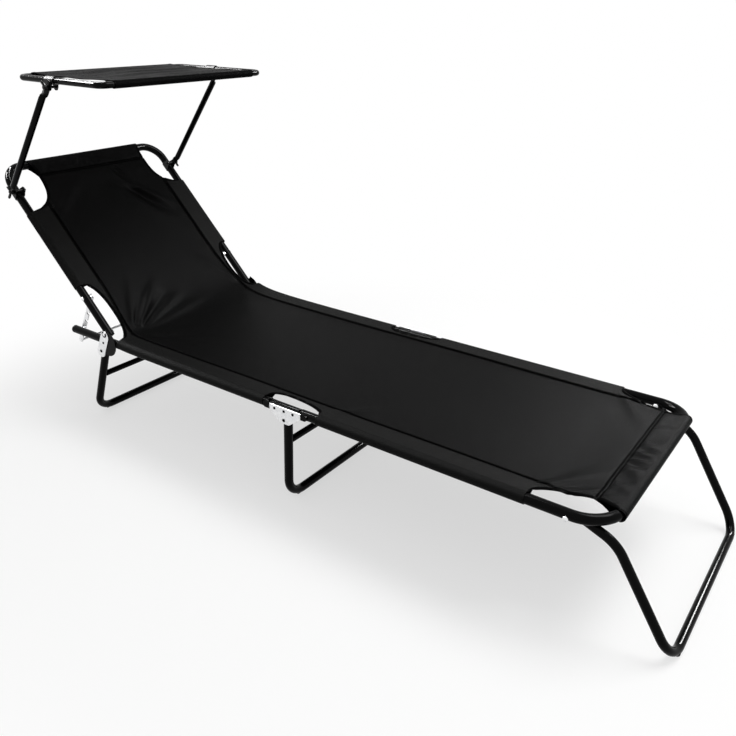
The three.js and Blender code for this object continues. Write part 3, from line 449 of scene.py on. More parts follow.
def wear_group() -> bpy.types.NodeTree:
    """Patchy handling marks and dust: two noises at different scales, thresholded softly."""
    name = "handling and dust"
    found = bpy.data.node_groups.get(name)
    if found:
        return found
    tree, nodes, inp, out = shader_group(name, {"Scale": 9.0, "Amount": 0.5}, ["Dust", "Smudge"])
    broad = nodes.noise(inp["Vector"], scale=1.0, detail=5.0)
    scaled = nodes.add("ShaderNodeVectorMath", {0: inp["Vector"], 3: inp["Scale"]}, operation="SCALE")
    coarse = scaled.outputs[0]
    patches = nodes.ramp(nodes.noise(coarse, scale=1.0, detail=6.0), low=0.42, high=0.72)
    fine = nodes.ramp(nodes.noise(coarse, scale=26.0, detail=2.0), low=0.5, high=0.8)
    nodes.feed(out, {
        "Dust": nodes.maths("MULTIPLY", nodes.maths("MULTIPLY", patches, fine), inp["Amount"]),
        "Smudge": nodes.ramp(broad, low=0.35, high=0.7),
    })
    return tree


@dataclass(frozen=True)
class Finish:
    """A surface finish: its slot, name and shader, built once and then shared."""

    title: str
    slot: Slot

    def material(self) -> bpy.types.Material:
        """The finish's material, made when it is first asked for."""
        found = bpy.data.materials.get(self.title)
        if found:
            return found
        made = bpy.data.materials.new(self.title)
        made.use_nodes = True
        made.node_tree.nodes.clear()
        nodes = Nodes(made.node_tree)
        shader = nodes.add("ShaderNodeBsdfPrincipled")
        nodes.feed(shader, self.sockets(nodes))
        nodes.add("ShaderNodeOutputMaterial", {"Surface": shader.outputs[0]})
        return made

    def sockets(self, nodes: Nodes) -> dict:
        """The shader's inputs by name, each a constant or the output of a texture."""
        raise NotImplementedError

    @staticmethod
    def wear(nodes: Nodes, vector: Socket, scale: float, amount: float) -> tuple[Socket, Socket]:
        """Places the shared wear group, and gives its dust and its smudges."""
        marks = nodes.group(wear_group(), {"Vector": vector, "Scale": scale, "Amount": amount}).outputs
        return marks["Dust"], marks["Smudge"]

    @staticmethod
    def relief(nodes: Nodes, height: Socket, depth: float, strength: float) -> Socket:
        """The normal that a Bump node makes of a height."""
        links = {"Height": height, "Distance": depth, "Strength": strength}
        return nodes.add("ShaderNodeBump", links).outputs[0]


@dataclass(frozen=True)
class PowderCoat(Finish):
    """Glossy black powder coat on steel tube, with a faint orange peel and handling marks."""

    title: str = "gloss black powder coat"
    slot: Slot = Slot.COAT
    tone: float = 0.0012
    roughness: float = 0.09
    smudged: float = 0.09
    shine: float = 0.05

    def sockets(self, nodes: Nodes) -> dict:
        """Dark base, dust in patches, smudged roughness, and a fine bump for the orange peel."""
        place = nodes.place()
        dust, smudge = self.wear(nodes, place, scale=7.0, amount=0.5)
        dark = tinted(self.tone, blue=1.05)
        dusty = tinted(self.tone, 3.5, 3.4, 3.2)
        peel = nodes.noise(place, scale=900.0, detail=2.0)
        return {
            "Base Color": nodes.mix(dust, dark, dusty),
            "Roughness": nodes.ramp(smudge, 0.0, 1.0, self.roughness, self.roughness + self.smudged),
            "Normal": self.relief(nodes, peel, depth=0.00006, strength=0.35),
            "Specular IOR Level": self.shine,
        }


@dataclass(frozen=True)
class Zinc(Finish):
    """Galvanised steel: pale crystalline patches, slightly dull, darker in its scratches."""

    title: str = "bright galvanised steel"
    slot: Slot = Slot.ZINC
    tone: float = 0.8
    dirt: Colour = (0.35, 0.34, 0.32, 1.0)

    def sockets(self, nodes: Nodes) -> dict:
        """Metal whose tone and roughness follow crystal cells, with fine scratches as bump."""
        place = nodes.place()
        cells = nodes.add("ShaderNodeTexVoronoi", {"Vector": place, "Scale": 260.0}).outputs["Color"]
        grey = nodes.add("ShaderNodeRGBToBW", {0: cells}).outputs[0]
        dust = self.wear(nodes, place, scale=60.0, amount=0.4)[0]
        pale = nodes.mix(grey, tinted(self.tone, 0.86, 0.87, 0.89), tinted(self.tone))
        scratches = nodes.noise(nodes.stretched(place, (2200.0, 300.0, 160.0)), scale=1.0, detail=2.0)
        return {
            "Base Color": nodes.mix(dust, pale, self.dirt),
            "Roughness": nodes.ramp(grey, 0.0, 1.0, to_low=0.34, to_high=0.5),
            "Normal": self.relief(nodes, scratches, depth=0.00005, strength=0.4),
            "Metallic": 1.0,
        }


@dataclass(frozen=True)
class MouldedPlastic(Finish):
    """Black moulded plastic with a fine spark-eroded grain."""

    title: str = "black moulded plastic"
    slot: Slot = Slot.PLASTIC
    dark: Colour = (0.004, 0.004, 0.0043, 1.0)
    rubbed: Colour = (0.016, 0.016, 0.0155, 1.0)
    shine: float = 0.12

    def sockets(self, nodes: Nodes) -> dict:
        """Near black, satin, with a fine grain and paler rubbed spots."""
        place = nodes.place()
        dust, smudge = self.wear(nodes, place, scale=40.0, amount=0.35)
        grain = nodes.noise(place, scale=2600.0, detail=1.0)
        return {
            "Base Color": nodes.mix(dust, self.dark, self.rubbed),
            "Roughness": nodes.ramp(smudge, 0.0, 1.0, to_low=0.32, to_high=0.46),
            "Normal": self.relief(nodes, grain, depth=0.00008, strength=0.45),
            "Specular IOR Level": self.shine,
        }


@dataclass(frozen=True)
class WovenCloth(Finish):
    """Coated black cloth with a fine plain weave, doubled along its borders."""

    title: str = "black woven sling cloth"
    slot: Slot = Slot.SLING
    tone: float = 0.0008
    border_tone: float = 0.0065
    # sewn is painted shade: the near-black colour laid into the furrows beside the seams and hems.
    sewn: Colour = (0.0002, 0.0002, 0.0002, 1.0)
    roughness: float = 0.42
    shine: float = 0.016
    threads: float = 1300.0
    seam: tuple[float, float] = (SEAM_BACK, SEAM_SEAT)
    hems: tuple[float, float] = (-9.0, 9.0)

    def sockets(self, nodes: Nodes) -> dict:
        """Thread tone under dust, paler borders, painted shade with its gloss taken out in the furrows
        beside seams and hems, patchy roughness, and the weave as bump.
        """
        cloth = nodes.add("ShaderNodeUVMap", uv_map="UVMap").outputs[0]
        weave = nodes.group(weave_group(), {"Vector": cloth, "Threads per metre": self.threads}).outputs
        dust, smudge = self.wear(nodes, nodes.place(), scale=5.0, amount=0.55)
        thread = nodes.mix(weave["Tone"], tinted(self.tone, blue=1.04), tinted(self.tone, 2.1, 2.1, 2.15))
        dusty = nodes.mix(dust, thread, tinted(self.tone, 4.0, 3.9, 3.7))
        split = nodes.add("ShaderNodeSeparateXYZ", {0: cloth}).outputs
        across, along = nodes.maths("ABSOLUTE", split["X"]), split["Y"]
        seam = nodes.ramp(along, SEAM_FROM, SEAM_TO, *self.seam)
        border = nodes.ramp(nodes.maths("SUBTRACT", across, seam), low=0.004, high=0.008)
        doubled = nodes.mix(border, dusty, tinted(self.border_tone, blue=0.98))
        # Painted shade: the furrows beside the side seams and the hems get a near-black colour and almost no
        # gloss.
        sewn = self.line(nodes, across, seam)
        for hem in self.hems:
            sewn = nodes.maths("MAXIMUM", sewn, self.line(nodes, along, hem))
        gloss = nodes.ramp(along, -0.5, 0.05, to_low=self.shine * 0.4, to_high=self.shine)
        unshaded_share = nodes.ramp(sewn, 0.0, 1.0, to_low=1.0, to_high=0.08)
        return {
            "Base Color": nodes.mix(sewn, doubled, self.sewn),
            "Specular IOR Level": nodes.maths("MULTIPLY", gloss, unshaded_share),
            "Roughness": nodes.ramp(smudge, 0.0, 1.0, self.roughness - 0.05, self.roughness + 0.07),
            "Normal": self.relief(nodes, weave["Height"], depth=0.00022, strength=0.5),
        }

    @staticmethod
    def line(nodes: Nodes, value: Socket, place: object) -> Socket:
        """Mask of the painted shade in the double furrow beside a seam: 1 where the distance to it is 1.6 to
        4.2 mm.

        Args:
            nodes: the tree's builder.
            value: the coordinate across the seam.
            place: the seam's own coordinate.

        Returns:
            A value from 0 to 1.
        """
        away = nodes.maths("ABSOLUTE", nodes.maths("SUBTRACT", value, place))
        begins = nodes.ramp(away, low=0.0006, high=0.0016)
        ends = nodes.ramp(away, low=0.0042, high=0.0056, to_low=1.0, to_high=0.0)
        return nodes.maths("MULTIPLY", begins, ends)


@dataclass(frozen=True)
class SewingThread(Finish):
    """Black polyester thread, as dull as the cloth."""

    title: str = "black sewing thread"
    slot: Slot = Slot.SLING
    dark: Colour = (0.0006, 0.0006, 0.0006, 1.0)
    pale: Colour = (0.003, 0.003, 0.0031, 1.0)
    shine: float = 0.01

    def sockets(self, nodes: Nodes) -> dict:
        """Dark base with a twisted grain along the stitches."""
        twist = nodes.noise(nodes.place(), scale=3000.0, detail=1.0)
        return {
            "Base Color": nodes.mix(twist, self.dark, self.pale),
            "Roughness": nodes.ramp(twist, 0.0, 1.0, to_low=0.34, to_high=0.5),
            "Normal": self.relief(nodes, twist, depth=0.0001, strength=0.4),
            "Specular IOR Level": self.shine,
        }


COAT = PowderCoat()
ZINC = Zinc()
PLASTIC = MouldedPlastic()
SLING = WovenCloth()
CANOPY = WovenCloth(title="black woven canopy cloth", slot=Slot.CANOPY, tone=0.0018, border_tone=0.0018,
                   roughness=0.36, shine=0.003, threads=1600.0, seam=NO_SEAM)
BINDING = WovenCloth(title="black bound edge", tone=0.0004, border_tone=0.0004, shine=0.004, seam=NO_SEAM)
THREAD = SewingThread()


def wrapped(past: Array, radius: float, seam: tuple[float, float]) -> tuple[Array, Array]:
    """A sleeve past a tube's crown: r · (sin a, cos a) over its turn, then straight to the seam.

    Args:
        past: distance along the cloth from the crown.
        radius: the sleeve's outer radius.
        seam: where it is sewn on, as (outwards from the tube, above the tubes' plane).

    Returns:
        Distances outwards from the tube's centre and above the tubes' plane.
    """
    turn = np.clip(past / radius, 0.0, WRAP_TURN)
    out, up = radius * np.sin(turn), radius * np.cos(turn)
    corner = np.array([radius * math.sin(WRAP_TURN), radius * math.cos(WRAP_TURN)])
    run = np.array(seam) - corner
    share = np.clip((past - radius * WRAP_TURN) / np.linalg.norm(run), 0.0, 1.0)
    return out + share * run[0], up + share * run[1]


@dataclass
class BentLine:
    """A tube's centre line: straight runs through corner points, joined by round bends.

    Attributes:
        corners: the corner points, shape (n, 3).
        radius: the bend radius at each inner corner.
        steps: stations in a bend.
    """

    corners: Array
    radius: float
    steps: int = 16

    def stations(self) -> tuple[Array, Array]:
        """Places and directions along the line.

        A bend of turn T starts radius · tan(T / 2) before its corner and goes round its centre.

        Returns:
            Places and unit directions, each of shape (n, 3).
        """
        corners = np.asarray(self.corners, float)
        runs = unit(np.diff(corners, axis=0))
        places, directions = [corners[:1]], [runs[:1]]
        for corner, into, out in zip(corners[1:-1], runs[:-1], runs[1:]):
            turn = math.acos(float(np.clip(into @ out, -1.0, 1.0)))
            start = corner - into * self.radius * math.tan(turn / 2.0)
            inward = unit(np.cross(np.cross(into, out), into))
            angle = np.linspace(0.0, turn, self.steps + 1)[:, None]
            places.append(start + self.radius * (np.sin(angle) * into + (1.0 - np.cos(angle)) * inward))
            directions.append(np.cos(angle) * into + np.sin(angle) * inward)
        places.append(corners[-1:])
        directions.append(runs[-1:])
        return np.concatenate(places), np.concatenate(directions)


def carried(places: Array, directions: Array, thin: Array, width: Array, thickness: Array,
            sides: int = 32) -> Array:
    """Rings of an oval carried along a line: p + width · cos(a) · w + thickness · sin(a) · t.

    Here t is the given direction made square to the line, and w is square to both.

    Args:
        places: centres of the rings, shape (n, 3).
        directions: unit directions of the line there.
        thin: the direction of the oval's thickness, one or one per ring.
        width: half width of each oval.
        thickness: half thickness of each oval.
        sides: points in a ring.

    Returns:
        Rings of shape (n, sides, 3).
    """
    thin = np.broadcast_to(np.asarray(thin, float), places.shape)
    square = unit(thin - (thin * directions).sum(-1, keepdims=True) * directions)
    wide = np.cross(square, directions)
    angle = np.linspace(0.0, 2.0 * np.pi, sides, endpoint=False)
    width = np.broadcast_to(width, len(places))[:, None, None]
    thickness = np.broadcast_to(thickness, len(places))[:, None, None]
    return (places[:, None] + width * np.cos(angle)[None, :, None] * wide[:, None]
            + thickness * np.sin(angle)[None, :, None] * square[:, None])


@dataclass
class Tube:
    """A round tube with open ends: a short bore, a lip and the outside, as one closed skin."""

    line: BentLine
    radius: float
    thin: tuple[float, float, float]
    wall: float = RAIL_WALL
    bore: float = 0.03
    lip: float = 0.0004
    sides: int = 32

    def skin(self) -> Skin:
        """Rings into the bore, back over the lip, along the outside, and the same at the far end."""
        places, directions = self.line.stations()
        inside = self.radius - self.wall
        steps = np.array([self.bore, 0.0, 0.0, self.lip])
        radii = np.array([inside, inside, self.radius - self.lip, self.radius])
        start = places[0] + steps[:, None] * directions[0]
        end = places[-1] - steps[::-1, None] * directions[-1]
        centres = np.concatenate([start, places[1:-1], end])
        first, last = (np.repeat(way, len(steps), 0) for way in (directions[:1], directions[-1:]))
        ways = np.concatenate([first, directions[1:-1], last])
        outer = np.concatenate([radii, np.full(len(places) - 2, self.radius), radii[::-1]])
        return lofted(carried(centres, ways, self.thin, outer, outer, self.sides))


def rail_tube(side: Side, start: float, end: float, radius: float) -> Skin:
    """A straight tube on a rail's line, from one x to another.

    Args:
        side: the rail's side.
        start: x of one end.
        end: x of the other end.
        radius: outer radius.

    Returns:
        Points and faces.
    """
    y = side.value * RAIL_Y
    line = BentLine(np.array([[start, y, SEAT_LEVEL], [end, y, SEAT_LEVEL]]), 0.0)
    return Tube(line, radius, (0, 0, 1)).skin()


def cross_tube(x: float, z: float, half: float, radius: float, sides: int = 32) -> Skin:
    """A straight tube across the lounger, as far to the right as to the left."""
    line = BentLine(np.array([[x, -half, z], [x, half, z]]), 0.0)
    return Tube(line, radius, (1, 0, 0), sides=sides).skin()


def floor_bar(x: float, half: float, radius: float) -> Skin:
    """A bar on the floor between the ends of two bent tubes, with a spigot into each of them.

    Args:
        x: where it lies.
        half: distance of the bent tubes' ends from the middle plane.
        radius: outer radius.

    Returns:
        Points and faces of the bar with its spigots.
    """
    bar = cross_tube(x, radius, half - FIT, radius)
    spigots = cross_tube(x, radius, half + SPIGOT_REACH, radius - SPIGOT_INSET)
    return combined([bar, spigots])


@dataclass
class Plate:
    """A flat pressed plate in the XZ plane with slightly rounded edges.

    Attributes:
        outline: corner points (x, z) going round, shape (n, 2).
        inner: distance of its inner face from the middle plane.
        outer: distance of its outer face from the middle plane.
    """

    outline: Array
    inner: float
    outer: float
    edge: float = 0.0004

    def skin(self, side: Side) -> Skin:
        """Rings from face to face: each outline point moves in by the edge at the faces.

        Args:
            side: the side it is on.

        Returns:
            Points and faces.
        """
        ahead = np.roll(self.outline, -1, axis=0) - self.outline
        behind = self.outline - np.roll(self.outline, 1, axis=0)
        along = unit(unit(ahead) + unit(behind))
        inward = np.stack([-along[:, 1], along[:, 0]], axis=-1)
        centre = self.outline.mean(0)
        if ((centre - self.outline) * inward).sum() < 0:
            inward = -inward
        depth = [(self.inner, self.edge), (self.inner + self.edge, 0.0),
                 (self.outer - self.edge, 0.0), (self.outer, self.edge)]
        rings = []
        for distance, inset in depth:
            flat = self.outline + inward * inset
            across = np.full(len(flat), side.value * distance)
            rings.append(np.stack([flat[:, 0], across, flat[:, 1]], axis=-1))
        return lofted(np.array(rings))


def arc(centre: tuple[float, float], radius: float, start: float, end: float, steps: int = 16) -> Array:
    """Points (x, z) on a circle from one angle to another, in degrees."""
    angle = np.radians(np.linspace(start, end, steps + 1))
    return np.stack([centre[0] + radius * np.cos(angle), centre[1] + radius * np.sin(angle)], axis=-1)


def slot_outline(first: tuple[float, float], last: tuple[float, float], radius: float) -> Array:
    """A bar with round ends between two points.

    Args:
        first: centre of one end, (x, z).
        last: centre of the other end.
        radius: radius of the ends.

    Returns:
        Corner points (x, z) going round.
    """
    lean = math.degrees(math.atan2(last[1] - first[1], last[0] - first[0]))
    far = arc(last, radius, lean - 90, lean + 90)
    near = arc(first, radius, lean + 90, lean + 270)
    return np.concatenate([far, near])


@dataclass
class Rivet:
    """A rivet along Y: a shank between two faces and a domed head on each end."""

    x: float
    z: float
    inner: float
    outer: float
    shank: float = 0.003
    head: float = 0.0055
    rise: float = 0.0018

    def dome(self) -> list[tuple[float, float]]:
        """Rings of a head, radius and height: a low dome r = head · cos(a), h = rise · sin(a)."""
        angle = np.radians(np.linspace(0.0, 80.0, 7))
        return [(self.head * math.cos(a), self.rise * math.sin(a)) for a in angle]

    def skin(self, side: Side) -> Skin:
        """Head, shank and head as one turned part.

        Args:
            side: the side it is on.

        Returns:
            Points and faces.
        """
        inside = [(radius, self.inner - FIT - rise) for radius, rise in self.dome()][::-1]
        outside = [(radius, self.outer + FIT + rise) for radius, rise in self.dome()]
        shank = [(self.shank, self.inner - FIT), (self.shank, self.outer + FIT)]
        return turned(inside + shank + outside, (self.x, 0.0, self.z), (0.0, side.value, 0.0))


def settle(piece: bpy.types.Object, body: str, *nodes: str) -> None:
    """Lets a piece ride on a body and stand for the given nodes.

    Args:
        piece: the new piece.
        body: the body it moves with.
        nodes: the solids that it stands for.
    """
    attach(piece, body)
    if nodes:
        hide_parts(*nodes)


def put(name: str, skin: Skin, finish: Finish, body: str, *nodes: str) -> None:
    """Makes a piece of a closed skin and settles it.

    Args:
        name: the piece's name.
        skin: its points and faces.
        finish: the surface finish.
        body: the body it moves with.
        nodes: the solids that it stands for.
    """
    settle(make_piece(name, *skin, finish), body, *nodes)


def dress_node(node: str, finish: Finish) -> None:
    """Gives a carried-over solid its finish.

    Args:
        node: the solid's name.
        finish: the surface finish.
    """
    solid = frame["nodes"][node]
    solid.data.materials.clear()
    solid.data.materials.append(finish.material())


@dataclass
class SeatFrame:
    """Seat rails with caps, hinge plates, hook pins and tongues."""

    overhang: float = 0.154
    rail_end: float = 0.585
    cap_height: float = 0.0088
    disc_inner: float = 0.2714
    plate: float = 0.0022
    strap_half: float = 0.015
    strap_spare: float = 0.0065
    seat_rivet: tuple[float, float] = (-0.0095, 0.25)
    leg_pivot: tuple[float, float] = (-0.025, 0.2225)
    disc_radius: float = 0.038
    disc_centre: tuple[float, float] = (0.0005, 0.252)
    disc_back: float = 0.014
    cap_shoulder: float = 0.35
    cap_gap: float = 0.0003
    cap_edge: float = 0.0008
    plug_share: float = 0.86
    plug_length: float = 0.004
    strap_foot: float = 0.0035
    leg_head: float = 0.0042
    washer_radii: tuple[float, float, float] = (0.0032, 0.0084, 0.0056)
    washer_heights: tuple[float, float] = (0.0009, 0.0012)

    @property
    def strap_inner(self) -> float:
        """The strap's inner face, past the disc."""
        return self.disc_inner + self.plate + FIT

    def rail(self, side: Side) -> None:
        """The straight seat rail."""
        skin = rail_tube(side, -self.overhang, self.rail_end, RAIL_RADIUS)
        put(f"rail_of_seat_{side.tag}", skin, COAT, "seat", f"seat_rail_{side.tag}")

    def cap(self, side: Side) -> None:
        """The domed plastic cap: plug, short skirt, then r = R · cos(a) over an elliptic dome."""
        angle = np.radians(np.linspace(0.0, 82.0, 9))
        rise = self.cap_height * (self.cap_shoulder + (1.0 - self.cap_shoulder) * np.sin(angle))
        plug = self.plug_share * (RAIL_RADIUS - RAIL_WALL - FIT)
        profile = [(plug, -self.plug_length), (plug, self.cap_gap), (RAIL_RADIUS - FIT, self.cap_gap),
                   (RAIL_RADIUS, self.cap_edge), *zip(RAIL_RADIUS * np.cos(angle), rise)]
        skin = turned(profile, (-self.overhang, side.value * RAIL_Y, SEAT_LEVEL), (-1.0, 0.0, 0.0))
        put(f"cap_of_rail_{side.tag}", skin, PLASTIC, "seat", f"rail_cap_{side.tag}")

    def disc(self) -> Plate:
        """The black half disc, whose straight edge runs beside the line from pivot to pivot."""
        top, low = (0.0, PIVOT_Z), self.leg_pivot
        lean = math.atan2(top[1] - low[1], top[0] - low[0])
        along = np.array([math.cos(lean), math.sin(lean)])
        back = self.disc_back * np.array([-along[1], along[0]])
        reach = self.disc_radius * along
        centre = np.array(self.disc_centre)
        turn = math.degrees(lean)
        round_edge = arc(self.disc_centre, self.disc_radius, turn - 180, turn, 32)
        outline = np.concatenate([round_edge, [centre + reach + back, centre - reach + back]])
        return Plate(outline, self.disc_inner, self.disc_inner + self.plate)

    def plates(self, side: Side) -> None:
        """The black half disc and, outside it, the galvanised strap with its rivet on the rail."""
        top, low = (0.0, PIVOT_Z), self.leg_pivot
        spare = self.strap_foot / math.dist(top, low)
        foot = tuple(b - (t - b) * spare for t, b in zip(top, low))
        outline = slot_outline(foot, (0.0, PIVOT_Z - self.strap_spare), self.strap_half)
        outer = self.strap_inner + self.plate
        strap = Plate(outline, self.strap_inner, outer).skin(side)
        rivet = Rivet(*self.seat_rivet, RAIL_Y, outer - FIT, head=SMALL_HEAD).skin(side)
        put(f"disc_of_hinge_{side.tag}", self.disc().skin(side), COAT, "seat", f"hinge_disc_{side.tag}")
        put(f"strap_of_hinge_{side.tag}", strap, ZINC, "seat", f"hinge_strap_{side.tag}")
        put(f"rivet_of_strap_{side.tag}", rivet, COAT, "seat")

    def rivets(self, side: Side) -> None:
        """The rivets of the backrest hinge, with its washer, and of the rear leg."""
        outer = self.strap_inner + self.plate
        back = Rivet(0.0, PIVOT_Z, RAIL_Y - RAIL_RADIUS, outer).skin(side)
        leg = Rivet(*self.leg_pivot, LEG_FACE, outer, head=self.leg_head).skin(side)
        put(f"rivet_of_back_{side.tag}", back, ZINC, "seat", f"back_pivot_{side.tag}")
        put(f"rivet_of_rear_leg_{side.tag}", leg, COAT, "seat", f"rear_leg_pivot_{side.tag}")
        hole, rim, crown = self.washer_radii
        edge, height = self.washer_heights
        ring = [(hole, outer - FIT), (rim, outer - FIT), (rim, outer + edge), (crown, outer + height)]
        skin = turned(ring, (0.0, 0.0, PIVOT_Z), (0.0, side.value, 0.0))
        put(f"washer_of_back_{side.tag}", skin, COAT, "seat")

    def build(self) -> None:
        """Makes both sides."""
        for side in Side:
            self.rail(side)
            self.cap(side)
            self.plates(side)
            self.rivets(side)
            dress_node(f"hook_pin_{side.tag}", ZINC)
            dress_node(f"seat_tongue_{side.tag}", COAT)


@dataclass
class Backrest:
    """The backrest's bent frame and the prop behind it."""

    length: float = 0.5415
    tail: float = 0.009
    corner: float = 0.054
    prop_along: float = 0.114
    prop_outer: float = 0.244
    bar_thickness: float = 0.003
    spacer: float = 0.0055

    def build(self) -> None:
        """The bent tube, the prop's rivets, and finishes for the notched bars and rod."""
        along = np.array([-self.tail, self.length, self.length, -self.tail])
        across = RAIL_Y * np.array([-1.0, -1.0, 1.0, 1.0])
        line = BentLine(on_back(along, across, 0.0), self.corner)
        skin = Tube(line, RAIL_RADIUS, (BACK_SIN, 0.0, BACK_COS)).skin()
        put("tube_of_backrest", skin, COAT, "backrest", "head_frame")
        x, z = on_back(self.prop_along, 0.0, 0.0)[[0, 2]]
        spacer = [(self.spacer, self.prop_outer + FIT), (self.spacer, RAIL_Y - RAIL_RADIUS - FIT)]
        for side in Side:
            rivet = Rivet(x, z, self.prop_outer - self.bar_thickness, RAIL_Y + RAIL_RADIUS).skin(side)
            skin = combined([rivet, turned(spacer, (x, 0.0, z), (0, side.value, 0))])
            put(f"rivet_of_prop_{side.tag}", skin, ZINC, "backrest", f"prop_rivet_{side.tag}")
            dress_node(f"prop_bar_{side.tag}", ZINC)
        dress_node("prop_rod", ZINC)


@dataclass
class FoldLink:
    """The double hinge half way along: short tubes and galvanised plates with their pins."""

    seat_pivot: float = 0.61
    foot_pivot: float = 0.664
    middle: float = 0.638
    seat_end: float = 0.0205
    foot_end: float = 0.0095
    tube_radius: float = 0.01
    plate_inner: float = 0.274
    plate: float = 0.0022
    rise: float = 0.009
    overhang: float = 0.015
    foot_extra: float = 0.0065
    drop: float = 0.032
    leg: tuple[float, float] = (0.6365, 0.227)
    leg_width: float = 0.034
    leg_head: float = 0.004
    soft: float = 0.004
    tube_face: float = 0.2722
    middle_face: float = 0.271

    def outline(self) -> Array:
        """The plate's outline: straight on top, narrowing to the rounded lobe of the leg."""
        soft = self.soft
        left, right = self.seat_pivot - self.overhang, self.foot_pivot + self.overhang + self.foot_extra
        top, low, base = SEAT_LEVEL + self.rise, SEAT_LEVEL - self.rise, SEAT_LEVEL - self.drop
        foot = self.leg[0] - self.leg_width / 2.0
        return np.concatenate([
            arc((left + soft, top - soft), soft, 90, 180, 5),
            arc((left + soft, low + soft), soft, 180, 225, 4),
            arc((foot + 2.0 * soft, base + soft), soft, 215, 270, 5),
            arc((foot + self.leg_width - soft, base + soft), soft, 270, 320, 5),
            arc((right - soft, low + soft), soft, 320, 360, 4),
            arc((right - soft, top - soft), soft, 0, 90, 5),
        ])

    def build(self) -> None:
        """Tubes, plates, pins and the middle leg's rivets on both sides."""
        outer = self.plate_inner + self.plate
        faces = dict.fromkeys((self.seat_pivot, self.foot_pivot), self.tube_face)
        faces[self.middle] = self.middle_face
        for side in Side:
            tube = rail_tube(side, self.seat_pivot - self.seat_end, self.foot_pivot + self.foot_end,
                             self.tube_radius)
            plate = Plate(self.outline(), self.plate_inner, outer).skin(side)
            pins = [Rivet(x, SEAT_LEVEL, inner, outer - FIT, head=SMALL_HEAD).skin(side)
                    for x, inner in faces.items()]
            leg = Rivet(*self.leg, LEG_FACE, outer, head=self.leg_head).skin(side)
            put(f"tube_of_link_{side.tag}", tube, COAT, "link", f"link_tube_{side.tag}")
            put(f"plate_of_link_{side.tag}", plate, ZINC, "link", f"link_plate_{side.tag}")
            put(f"pins_of_link_{side.tag}", combined(pins), COAT, "link")
            put(f"rivet_of_mid_leg_{side.tag}", leg, COAT, "link", f"mid_leg_pivot_{side.tag}")


@dataclass
class StraightLeg:
    """A leg of two bent tubes, a floor bar and a brace.

    Attributes:
        name: the leg's body and the start of its nodes' names.
        pivot: the pivot's (x, z).
        foot_x: where the floor bar lies.
    """

    name: str
    pivot: tuple[float, float]
    foot_x: float
    radius: float = 0.0105
    offset: float = 0.2605
    corner: float = 0.048
    joint_run: float = 0.01
    head: float = 0.007
    brace_share: float = 0.41
    brace_radius: float = 0.008

    def build(self) -> None:
        """The bent tubes, the floor bar with its spigots, and the brace."""
        pivot, foot = np.array(self.pivot), np.array([self.foot_x, self.radius])
        up = unit(pivot - foot)
        head = pivot + up * self.head
        normal = (-up[1], 0.0, up[0])
        end = self.offset - self.corner - self.joint_run
        for side in Side:
            y = side.value * self.offset
            floor_end = [foot[0], side.value * end, foot[1]]
            corners = np.array([[head[0], y, head[1]], [foot[0], y, foot[1]], floor_end])
            skin = Tube(BentLine(corners, self.corner), self.radius, normal).skin()
            put(f"tube_of_{self.name}_{side.tag}", skin, COAT, self.name, f"{self.name}_tube_{side.tag}")
        bar = floor_bar(self.foot_x, end, self.radius)
        put(f"bar_of_{self.name}", bar, COAT, self.name, f"{self.name}_floor_bar")
        x, z = pivot + (foot - pivot) * self.brace_share
        brace = cross_tube(x, z, self.offset - self.radius - FIT, self.brace_radius, sides=24)
        put(f"brace_of_{self.name}", brace, COAT, self.name, f"{self.name}_brace")


def flat_end(share: Array) -> Array:
    """Width share of a rounded tip: sqrt(1 − s²)."""
    return np.sqrt(np.clip(1.0 - share * share, 0.0, 1.0))


